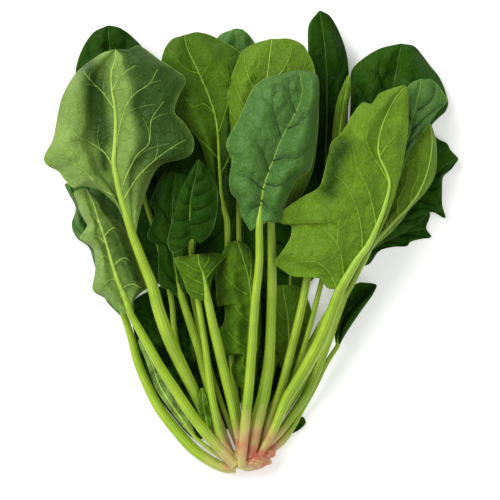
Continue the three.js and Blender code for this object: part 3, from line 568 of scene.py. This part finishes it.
def distance_to(line, flat):
    """The distance in plan of each point of flat from a polyline."""
    best = np.full(len(flat), 99.0)
    for start, end in zip(line[:-1, :2], line[1:, :2]):
        way = end - start
        share = np.clip((flat - start) @ way / max(way @ way, 1e-9), 0, 1)
        best = np.minimum(best, np.linalg.norm(flat - start - share[:, None] * way, axis=1))
    return best


def vein_fields(veins, rails, grid):
    """The distance of each grid point from the main veins and the midrib, and from any vein."""
    flat = grid[:, :, :2].reshape(-1, 2)
    spine = along(rails["midrib"], np.linspace(0, 1, 40))
    main = distance_to(spine, flat)
    every = np.full(len(flat), 99.0)
    for line, radius, _ in veins:
        away = distance_to(along(line, np.linspace(0, 1, 14)), flat)
        every = np.minimum(every, away)
        if radius == VEIN_RADIUS:
            main = np.minimum(main, away)
    return main.reshape(grid.shape[:2]), every.reshape(grid.shape[:2])


def curve_through(text, v):
    """Values at the shares v across a sheet, with soft steps between a text's share,value pairs."""
    places, values = numbers_of(text).T
    k = np.clip(np.searchsorted(places, v) - 1, 0, len(places) - 2)
    part = (v - places[k]) / (places[k + 1] - places[k])
    return values[k] + (values[k + 1] - values[k]) * part ** 2 * (3 - 2 * part)


def painted_shade_of(name, u, v):
    """How light a blade's colour is at each point of its grid, from 0 to 1, with its painted shade."""
    across = curve_through(PAINTED_SHADE_TONES.get(name, "-1,1 1,1"), v)[None, :]
    up = np.minimum(1, u / BASE_SHARE)[:, None]
    base = PAINTED_BASE_TONES.get(name, across)
    return base + (across - base) * up ** 2 * (3 - 2 * up)


def swell(grid, seed):
    """Soft uneven swelling of a sheet, in mm."""
    x, y = grid[:, :, 0], grid[:, :, 1]
    out = np.zeros(x.shape)
    for k, length in enumerate(SWELL_LENGTHS):
        turn = seed * 1.7 + k * 2.4
        bend = 0.8 * np.sin(2 * math.pi * (x - y) / (length * 2.1) + seed)
        wave = np.sin(2 * math.pi * (x * math.cos(turn) + y * math.sin(turn)) / length + seed * 3 + bend)
        cross = np.sin(2 * math.pi * (y * math.cos(turn) - x * math.sin(turn)) / (length * 1.3) + k + bend)
        out += wave * cross * (length / SWELL_LENGTHS[0]) ** 0.8
    return out


def add_object(name, data):
    thing = bpy.data.objects.new(name, data)
    bpy.context.collection.objects.link(thing)
    return thing


def grid_faces(rows, columns, flip):
    """Quads of a grid of points."""
    row, column = np.meshgrid(np.arange(rows - 1), np.arange(columns - 1), indexing="ij")
    corner = (row * columns + column).ravel()
    ring = np.stack((corner, corner + 1, corner + columns + 1, corner + columns), axis=1)
    return ring[:, ::-1] if flip else ring


def wall_faces(rows, columns):
    """Quads between rows of points that close on themselves."""
    row, column = np.meshgrid(np.arange(rows - 1), np.arange(columns), indexing="ij")
    a, b = (row * columns + column).ravel(), (row * columns + (column + 1) % columns).ravel()
    return np.stack((a, a + columns, b + columns, b), axis=1)


def rim_faces(rows, columns):
    """Quads that join the borders of the top grid to those of the bottom grid."""
    place_of = np.arange(rows * columns).reshape(rows, columns)
    border = np.concatenate((place_of[0], place_of[1:, -1], place_of[-1, -2::-1], place_of[-2:0:-1, 0]))
    after = np.roll(border, -1)
    under = rows * columns
    return np.stack((border, border + under, after + under, after), axis=1)


def surface_at(top, up):
    """A function that gives the height of the top face over a point in plan, or None outside it."""
    points = top.reshape(-1, 3)
    ways = up.reshape(-1, 3)
    tree = KDTree(len(points))
    for k, (x, y, _) in enumerate(points):
        tree.insert((x, y, 0), k)
    tree.balance()

    def height(x, y):
        found = tree.find_n((x, y, 0), 4)
        if found[0][2] > EDGE_SHARE * GRID_SIZE:
            return None
        total = weight = 0
        for _, k, away in found:
            near, way = points[k], ways[k]
            rise = near[2] - (way[0] * (x - near[0]) + way[1] * (y - near[1])) / max(way[2], 0.3)
            share = 1 / (away ** 2 + 0.05)
            total += share * rise
            weight += share
        return total / weight

    return height


def vein_tube(line, start_radius, end_radius, height, sink):
    """A vein that lies in or on the top face; sink is how deep its middle lies, in radii."""
    shares = np.linspace(0, 1, int(reach_of(line)[-1] / VEIN_STEP) + 3)
    centres = along(line, shares)
    heights = [height(x, y) for x, y in centres[:, :2]]
    kept = heights.index(None) if None in heights else len(heights)
    if kept < 4:
        return None
    radii = np.linspace(start_radius, end_radius, kept)
    centres = centres[:kept]
    centres[:, 2] = heights[:kept] - sink * radii
    points, faces, marks = capped(*rings_of(centres, radii, VEIN_SIDES, 0), 0)
    marks[:] = (1, 0, 1, 0)
    strength = np.linspace(1, 0.45, kept) * (start_radius / VEIN_RADIUS) ** 1.3
    marks[:, 3] = np.concatenate((np.repeat(strength, VEIN_SIDES), strength[[0, -1]]))
    return points, faces, marks


def blade_grid(leaf, rails):
    """Even shares along and across the sheet, with a narrow border column at each margin."""
    half = half_width(rails)
    u = np.linspace(0, 1, int(reach_of(rails["midrib"])[-1] / GRID_SIZE) + 2)
    v = np.linspace(-1, 1, 2 * (int(half / GRID_SIZE) + 2) + 1)
    border = 1 - BORDER_WIDTH / half
    v = np.concatenate(([-1, -border], v[1:-1], [border, 1]))
    v.sort()
    return u, v


def blade(name, leaf, seed, materials):
    """A leaf: its waved sheet, its midrib and its side veins in one piece."""
    rails = rails_of(leaf)
    u, v = blade_grid(leaf, rails)
    grid = sheet_points(leaf, rails, u, v)
    veins = side_veins(name, leaf, rails)
    main, every = vein_fields(veins, rails, grid)
    upper = leaf["look"] == "upper"
    inside = (np.minimum(1, (1 - np.abs(v)) * MARGIN_EASE)[None, :]
              * np.minimum(1, np.minimum(u, 1 - u) * END_EASE)[:, None])
    pucker = (0.5 - np.exp(-(main / PUCKER_REACH) ** 2)) * PUCKER_HEIGHT
    groove = np.exp(-(every / GROOVE_REACH) ** 2) * GROOVE_DEPTH
    swollen = swell(grid, seed)
    crumple = CRUMPLES.get(name, 1)
    soft = SWELL_HEIGHT * crumple * swollen
    quilt = QUILTS.get(name, 1)
    lift = inside * (soft + quilt * (pucker - groove) if upper else soft - 0.8 * pucker + 0.4 * groove)
    grid[:, :, 2] += lift
    folded = curve_through(FOLDS.get(name, "-1,0 1,0"), v)
    grid[:, :, 2] += folded * np.minimum(1, np.minimum(u * FOLD_BASE_EASE, (1 - u) * FOLD_TIP_EASE))[:, None]
    up = directions(grid)
    half = np.zeros(grid.shape)
    half[:, :, 2] = BLADE_THICKNESS / 2 / np.maximum(up[:, :, 2], LEAST_UPWARD)
    bottom = grid - half
    top = grid + half
    bottom[:, :, 2] = np.maximum(bottom[:, :, 2], 0)
    top[:, :, 2] = np.maximum(top[:, :, 2], bottom[:, :, 2] + BLADE_THICKNESS)
    rows, columns = main.shape
    marks = np.zeros((2, rows, columns, 4))
    # Red mark: painted shade along the veins, where the relief there lies in shade
    marks[..., 0] = np.exp(-(every / PAINTED_VEIN_SHADE_REACH) ** 2)
    marks[..., 1] = (np.abs(v) > 0.999)[None, :]
    # Painted shade in the hollows of crumpled blades and in the bands along their folds
    painted_shade = np.clip(-swollen, 0, 1) * (crumple - 1) * PAINTED_HOLLOW_SHADE
    for line, wide, depth in SHADOWS.get(name, ()):
        away = distance_to(line_of(line), grid[:, :, :2].reshape(-1, 2)).reshape(main.shape)
        painted_shade = np.maximum(painted_shade, depth * np.exp(-(away / wide) ** 2))
    # The blue mark is the painted shade: how light the blade's colour is there, from 0 to 1
    marks[..., 2] = np.maximum(painted_shade_of(name, u, v) - painted_shade, 0)
    parts = [
        (top.reshape(-1, 3), grid_faces(rows, columns, False), marks[0].reshape(-1, 4), 0),
        (bottom.reshape(-1, 3), grid_faces(rows, columns, True), marks[1].reshape(-1, 4), 1),
        (np.zeros((0, 3)), rim_faces(rows, columns) - 2 * rows * columns, np.zeros((0, 4)), 0),
    ]
    _, rib = spine_tubes(leaf, rails, grid[:, columns // 2], u)
    parts.append((*rib, 2))
    height = surface_at(top, up)
    sink = VEIN_SINK[upper]
    for line, start_radius, end_radius in veins:
        vein = vein_tube(line, start_radius, end_radius, height, sink)
        if vein:
            parts.append((*vein, 0))
    return joined(f"{name}_leaf", parts, materials)


def joined(name, parts, materials):
    """One object from (points, faces, marks, material place) parts."""
    start = 0
    faces, looks = [], []
    for points, part_faces, _, look in parts:
        faces.append(part_faces + start)
        looks.append(np.full(len(part_faces), look))
        start += len(points)
    faces = np.vstack(faces)
    points = np.vstack([part[0] for part in parts])
    marks = np.vstack([part[2] for part in parts])
    points[:, 2] = np.maximum(points[:, 2], 0)
    mesh = bpy.data.meshes.new(name)
    mesh.from_pydata((points * MM).tolist(), [], faces.tolist())
    mesh.polygons.foreach_set("material_index", np.concatenate(looks).astype(np.int32))
    mesh.polygons.foreach_set("use_smooth", np.ones(len(faces), dtype=bool))
    layer = mesh.color_attributes.new(name="marks", type="FLOAT_COLOR", domain="POINT")
    layer.data.foreach_set("color", marks.astype(np.float32).ravel())
    for material in materials:
        mesh.materials.append(material)
    mesh.set_sharp_from_angle(angle=math.radians(SHARP_ANGLE))
    mesh.update()
    return add_object(name, mesh)


def rings_of(centres, radii, sides, ridge_height):
    """Rings of points round the centres, with lengthwise ridges, and how high each side's ridge is."""
    course = np.gradient(centres, axis=0)
    course /= np.linalg.norm(course, axis=1, keepdims=True)
    across = np.stack((course[:, 1], -course[:, 0], np.zeros(len(course))), axis=1)
    across /= np.maximum(np.linalg.norm(across, axis=1, keepdims=True), 1e-9)
    lift = np.cross(across, course)
    angle = np.linspace(0, 2 * math.pi, sides, endpoint=False)
    ridge = (np.cos(RIDGES * angle + 0.6) + 0.8 * np.cos(3 * angle)) / 1.8
    reach = radii[:, None] * (1 + ridge_height * ridge[None, :])
    rings = (centres[:, None, :] + across[:, None, :] * (reach * np.cos(angle))[:, :, None]
             + lift[:, None, :] * (reach * np.sin(angle))[:, :, None])
    return rings, ridge


def capped(rings, ridge, veined):
    """Points, faces and marks of a closed tube; veined says how far its colour is a vein's."""
    count, sides = rings.shape[:2]
    faces = [wall_faces(count, sides)]
    points = rings.reshape(-1, 3)
    for end in (0, count - 1):
        base = end * sides
        k = np.arange(0, sides, 2)
        cap = [np.full(len(k), len(points)), base + k, base + (k + 1) % sides, base + (k + 2) % sides]
        points = np.vstack((points, rings[end].mean(axis=0)))
        faces.append(np.stack(cap if end else [cap[0], *cap[:0:-1]], axis=1))
    veined = np.broadcast_to(veined, count)
    marks = tube_marks(points)
    marks[:, 0] = np.concatenate((np.tile(0.5 + 0.5 * ridge, count), [0.5, 0.5]))
    marks[:, 3] = np.concatenate((np.repeat(veined, sides), veined[[0, -1]]))
    return points, np.vstack(faces), marks


def root_distance(points):
    """How far points are from the middle of the crown, in mm."""
    centre = np.append(place([CROWN_PLACE])[0][:2], CROWN_HEIGHT / 2)
    return np.linalg.norm(points - centre, axis=1)


def tube_marks(points):
    """Marks of stalks: how near the root is, and how near its pink part is."""
    away = root_distance(points)
    marks = np.zeros((len(points), 4))
    marks[:, 0] = 0.5
    marks[:, 1] = np.clip(1 - away / PALE_REACH, 0, 1)
    marks[:, 2] = np.clip(1 - (away - PINK_FROM) / PINK_REACH, 0, 1)
    return marks


def route_of(leaf):
    """A stalk's line, its length and the share of it at which it leaves the crown."""
    route = line_of(leaf["stalk"])
    shares = np.arange(0, 1, 0.002)
    collar = shares[np.argmax(root_distance(along(route, shares)) >= COLLAR_RADIUS)]
    return route, reach_of(route)[-1], collar


def spine_tubes(leaf, rails, spine, u):
    """The stalk and the midrib, which run on smoothly into each other."""
    route, length, collar = route_of(leaf)
    shares = np.linspace(collar - COLLAR_LAP / length, 1, int(length * (1 - collar) / STALK_STEP) + 4)
    centres = along(route, shares)
    radii = level(leaf["radii"], shares)
    end_radius = leaf["radii"][-1]
    rib_radii = RIB_TIP_RADIUS + (end_radius - RIB_TIP_RADIUS) * (1 - u) ** RIB_FALL
    away = reach_of(spine)
    half = BLADE_THICKNESS / 2
    offset = half + 0.12 - rib_radii if leaf["look"] == "upper" else 0.4 * rib_radii
    hold = np.exp(-(away / RIB_HOLD) ** 2)
    heights = spine[:, 2] + (1 - hold) * offset + hold * (route[-1, 2] - spine[0, 2])
    rib = np.column_stack((spine[:, :2], heights))
    centres = np.vstack((centres, rib[1:]))
    radii = np.concatenate((radii, rib_radii[1:]))
    rings, ridge = rings_of(centres, radii, STALK_SIDES, RIDGE_HEIGHT)
    joint = len(shares)
    stem = capped(rings[:joint + 1], ridge, 0)
    rib = capped(rings[joint - 1:], ridge, np.clip(away / (0.5 * away[-1]), 0, 1))
    return stem, rib


def stalk(name, leaf, material):
    rails = rails_of(leaf)
    u, _ = blade_grid(leaf, rails)
    spine = along(rails["midrib"], u)
    spine[:, 2] = level(leaf["rise"], u)
    stem, _ = spine_tubes(leaf, rails, spine, u)
    return joined(f"{name}_stem", [(*stem, 0)], [material])


def knob(at, height, half, seed):
    """A lumpy closed oval, in mm."""
    rows, columns = 30, 40
    tilt = np.linspace(0, math.pi, rows)[:, None]
    turn = np.linspace(0, 2 * math.pi, columns, endpoint=False)[None, :]
    unit = np.stack((np.sin(tilt) * np.cos(turn), np.sin(tilt) * np.sin(turn),
                     np.cos(tilt) * np.ones_like(turn)), axis=2)
    lump = 1 + 0.07 * np.sin(5 * turn + seed) * np.sin(3 * tilt) + 0.05 * np.sin(9 * turn + 7 * tilt)
    middle = place([at])[0] + np.array([0, 0, height])
    points = (middle + unit * np.array(half) * lump[:, :, None]).reshape(-1, 3)
    marks = tube_marks(points)
    marks[:, 2] = KNOB_PINK
    return points, wall_faces(rows, columns), marks


def crown(material):
    parts = [(*knob(at, height, half, k), 0) for k, (at, height, half) in enumerate(KNOBS)]
    for leaf in LEAVES.values():
        route, length, collar = route_of(leaf)
        shares = np.linspace(0, collar, 18)
        radii = level(leaf["radii"], shares) * (1 - 0.05 * (shares / collar) ** 6)
        rings = rings_of(along(route, shares), radii, STALK_SIDES, RIDGE_HEIGHT)
        parts.append((*capped(*rings, 0), 0))
    return joined("root_crown", parts, [material])


def colour_of(values):
    """An sRGB colour of 0 to 255 as linear values."""
    out = []
    for value in values:
        share = value / 255
        out.append(share / 12.92 if share <= 0.04045 else ((share + 0.055) / 1.055) ** 2.4)
    return (*out, 1)


class Nodes:
    """Small helper that adds and joins shader nodes."""

    def __init__(self, name):
        self.material = bpy.data.materials.new(name)
        self.material.use_nodes = True
        self.tree = self.material.node_tree
        self.shader = self.tree.nodes["Principled BSDF"]
        self.where = self.add("ShaderNodeTexCoord").outputs["Object"]

    def add(self, kind, inputs=None, **settings):
        """A new node with its settings and inputs."""
        node = self.tree.nodes.new(kind)
        for key, value in settings.items():
            setattr(node, key, value)
        for key, value in (inputs or {}).items():
            self.put(value, node.inputs[key])
        return node

    def put(self, value, socket):
        """Sets a socket to a number or colour, or joins another node's output to it."""
        if isinstance(value, (int, float, tuple)):
            socket.default_value = value
        else:
            self.tree.links.new(value, socket)

    def give(self, **values):
        """Sets or joins the main shader's sockets, with _ for a space in their names."""
        for name, value in values.items():
            self.put(value, self.shader.inputs[name.replace("_", " ")])

    def mark(self):
        node = self.add("ShaderNodeAttribute", attribute_name="marks", attribute_type="GEOMETRY")
        split = self.add("ShaderNodeSeparateColor", {"Color": node.outputs["Color"]})
        self.veined = node.outputs["Alpha"]
        return split.outputs

    def noise(self, scale, detail, roughness=0.5):
        node = self.add("ShaderNodeTexNoise", {"Vector": self.where, "Scale": scale, "Detail": detail,
                                               "Roughness": roughness})
        return node.outputs["Fac"]

    def net(self, scale, width):
        """1 on the borders of small cells and 0 inside them."""
        node = self.add("ShaderNodeTexVoronoi", {"Scale": scale, "Vector": self.where},
                        feature="DISTANCE_TO_EDGE")
        return self.span(node.outputs["Distance"], 0, width, 1, 0)

    def span(self, value, low, high, to_low, to_high):
        node = self.add("ShaderNodeMapRange", {"Value": value, "From Min": low, "From Max": high,
                                               "To Min": to_low, "To Max": to_high}, clamp=True)
        return node.outputs["Result"]

    def reckon(self, kind, first, second):
        return self.add("ShaderNodeMath", {0: first, 1: second}, operation=kind).outputs[0]

    def mix(self, share, first, second):
        inputs = {"Factor": share, 6: first, 7: second}
        return self.add("ShaderNodeMix", inputs, data_type="RGBA").outputs[2]

    def layered(self, colour, *layers):
        """A colour with other colours laid over it, each as (share, colour)."""
        for share, other in layers:
            colour = self.mix(share, colour, other)
        return colour

    def bump(self, height, strength, distance):
        node = self.add("ShaderNodeBump", {"Height": height, "Strength": strength, "Distance": distance})
        self.give(Normal=node.outputs["Normal"])


def tinted(colour, factor, paler=0):
    """A colour made lighter or darker, and paler by a share of yellowish white."""
    pale = (0.55, 0.7, 0.22)
    return (*(value * factor * (1 - paler) + white * paler for value, white in zip(colour, pale)), 1)


# The red, green and blue that a blade keeps where its painted shade is deepest
PAINTED_SHADE_SHARES = (0.06, 0.14, 0)


def leaf_material(name, body, vein, sheen):
    body, vein = colour_of(body), colour_of(vein)
    n = Nodes(name)
    marks = n.mark()
    broad = n.span(n.noise(38, 3), 0.3, 0.7, 0, 1)
    fine = n.noise(420, 4, 0.6)
    blister = n.noise(170, 3, 0.55)
    net = n.net(420, 0.09)
    wide_net = n.net(150, 0.05)
    shaded_colour = (*(value * share for value, share in zip(body, PAINTED_SHADE_SHARES)), 1)
    colour = n.layered(
        body,
        (broad, tinted(body, 0.72)),
        (n.span(n.noise(90, 4), 0.45, 0.8, 0, 0.5), tinted(body, 1.3, 0.02)),
        (n.span(net, 0, 1, 0, 0.22), tinted(body, 1.2, 0.15)),
        (n.span(wide_net, 0, 1, 0, 0.3), tinted(body, 1.2, 0.15)),
        (n.span(n.noise(1300, 2, 0.7), 0.42, 0.6, 0.35, 0), tinted(body, 0.55)),
        (n.span(fine, 0.35, 0.65, 0.3, 0), tinted(body, 0.6)),
        # Painted shade along the veins, from the red mark
        (n.span(marks["Red"], 0.1, 0.9, 0, 0.55), tinted(body, 0.62)),
        # Painted shade: the blue mark darkens the blade towards its shaded colour
        (n.span(marks["Blue"], 0, 1, 0.95, 0), shaded_colour),
        (n.span(marks["Green"], 0.1, 0.9, 0, 0.8), tinted(body, 1.3, 0.25)),
        (n.veined, vein))
    n.give(Base_Color=colour, Roughness=n.span(fine, 0.3, 0.7, 0.42, 0.6), Specular_IOR_Level=sheen)
    height = n.reckon("ADD", n.reckon("MULTIPLY", fine, 0.35), n.reckon("MULTIPLY", net, -0.2))
    height = n.reckon("ADD", height, n.reckon("MULTIPLY", blister, 1.6))
    n.bump(n.reckon("ADD", height, n.reckon("MULTIPLY", wide_net, -0.45)), 0.7, 0.0012)
    return n.material


def stalk_material(name, *colours):
    green, pale, beige, pink, vein = (colour_of(values) for values in colours)
    n = Nodes(name)
    marks = n.mark()
    broad = n.span(n.noise(60, 3), 0.35, 0.7, 0, 1)
    fine = n.noise(600, 3, 0.6)
    near = n.reckon("MULTIPLY", marks["Green"], n.span(n.noise(55, 2), 0.3, 0.7, 0.7, 1.2))
    rosy = n.reckon("MULTIPLY", marks["Blue"], n.span(n.noise(75, 2), 0.4, 0.62, 0, 1.3))
    colour = n.layered(
        green,
        (n.span(marks["Red"], 0.1, 0.9, 0.1, 0.85), pale),
        (n.span(broad, 0, 1, 0, 0.6), green),
        (n.span(n.noise(1100, 3, 0.7), 0.4, 0.62, 0.35, 0), green),
        (n.span(near, 0.45, 0.85, 0, 0.8), beige),
        (n.span(rosy, 0.1, 0.9, 0, 0.9), pink),
        (n.span(fine, 0.3, 0.7, 0.2, 0), green),
        (n.veined, vein))
    n.give(Base_Color=colour, Roughness=n.span(fine, 0.3, 0.7, 0.3, 0.45), Specular_IOR_Level=0.4)
    n.bump(n.reckon("ADD", fine, marks["Red"]), 0.3, 0.0004)
    return n.material


FLOOR_GLOW = 0.26
FLOOR_SIDE = 4
SKY_STRENGTH = 0.36


def floor_material():
    n = Nodes("pale_floor")
    grain = n.noise(30, 2)
    colour = n.mix(grain, (0.97, 0.97, 0.97, 1), (1, 1, 1, 1))
    n.give(Base_Color=colour, Roughness=0.9, Specular_IOR_Level=0.1, Emission_Color=(1, 1, 1, 1),
           Emission_Strength=FLOOR_GLOW)
    return n.material


def make_floor():
    mesh = bpy.data.meshes.new("floor")
    side = FLOOR_SIDE
    corners = [(-side, -side, 0), (side, -side, 0), (side, side, 0), (-side, side, 0)]
    mesh.from_pydata(corners, [], [(0, 1, 2, 3)])
    mesh.materials.append(floor_material())
    floor = add_object("floor", mesh)


def make_light(name, place_at, size, power):
    lamp = bpy.data.lights.new(name, "AREA")
    lamp.shape = "SQUARE"
    lamp.size = size
    lamp.energy = power
    holder = add_object(name, lamp)
    holder.location = place_at
    x, y, z = place_at
    holder.rotation_euler = (math.atan2(math.hypot(x, y), z), 0, math.atan2(x, -y))


def make_camera():
    data = bpy.data.cameras.new("camera")
    camera = add_object("camera", data)
    x, y, _ = place([FRAME_MIDDLE])[0] * MM
    camera.location = (x, y, CAMERA_HEIGHT)
    across = FRAME_STEPS * GRID_STEP * MM
    data.lens = data.sensor_width * (CAMERA_HEIGHT - SUBJECT_HEIGHT) / across
    data.clip_end = 20
    bpy.context.scene.camera = camera


def make_world():
    world = bpy.data.worlds.new("studio")
    world.use_nodes = True
    sky = world.node_tree.nodes["Background"]
    sky.inputs["Color"].default_value = (1, 1, 1, 1)
    sky.inputs["Strength"].default_value = SKY_STRENGTH
    bpy.context.scene.world = world


# The colours of each kind of blade, of its side veins and of its midrib, and how much it shines
SHADES = {
    "pale": ((130, 162, 72), (158, 188, 84), (168, 196, 84), 0.2),
    "fresh": ((104, 142, 24), (138, 174, 50), (150, 186, 60), 0.15),
    "green": ((84, 124, 12), (106, 144, 28), (126, 162, 42), 0.12),
    # The dark side veins of the sheen and deep kinds are painted shade of the grooves they lie in
    "sheen": ((75, 124, 42), (26, 56, 10), (112, 152, 50), 0.3),
    # deep is the dark green of an upper face, darkened further as painted shade, since most of its leaves
    # lie under others
    "deep": ((38, 80, 4), (20, 44, 0), (62, 102, 16), 0.05),
}
SHADE_OF_LOOK = {"upper": "deep", "under": "fresh", "lime": "fresh"}
SHADE_OF_LEAF = {name: shade for shade, names in (
    ("pale", ("left_front", "left_low", "low_left_edge")),
    ("green", ("centre_left", "small_lime", "lower_centre", "lower_right", "low_curl")),
    ("sheen", ("centre_front", "right_flap", "rear_small", "left_outer")),
) for name in names}
LEAF_MATERIALS = {name: leaf_material(f"leaf_{name}", blade_colour, vein, shine)
                  for name, (blade_colour, vein, _, shine) in SHADES.items()}
STALK_COLOURS = ((116, 152, 22), (196, 224, 72), (214, 190, 120), (208, 130, 108))
STALK_MATERIALS = {name: stalk_material(f"stalk_{name}", *STALK_COLOURS, midrib)
                   for name, (_, _, midrib, _) in SHADES.items()}
CROWN = stalk_material("crown", (150, 172, 66), (196, 204, 112), (212, 178, 128), (190, 92, 84),
                       (190, 92, 84))

for seed, (name, leaf) in enumerate(LEAVES.items()):
    look = leaf["look"]
    shade = SHADE_OF_LEAF.get(name, SHADE_OF_LOOK[look])
    other = "fresh" if look == "upper" else "deep"
    materials = [LEAF_MATERIALS[shade], LEAF_MATERIALS[other], STALK_MATERIALS[shade]]
    sheet = blade(name, leaf, seed, materials)
    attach(sheet, "root")
    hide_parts(f"{name}_blade")
    stem = stalk(name, leaf, STALK_MATERIALS[shade])
    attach(stem, "root")
    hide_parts(f"{name}_stalk")

root = crown(CROWN)
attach(root, "root")
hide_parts("crown")

make_floor()
make_light("key", (-1.2, 0.95, 1.5), 1.7, 56)
make_light("fill", (1.1, -0.7, 1.5), 1.6, 14)
make_camera()
make_world()
bpy.context.scene.view_settings.view_transform = "Standard"
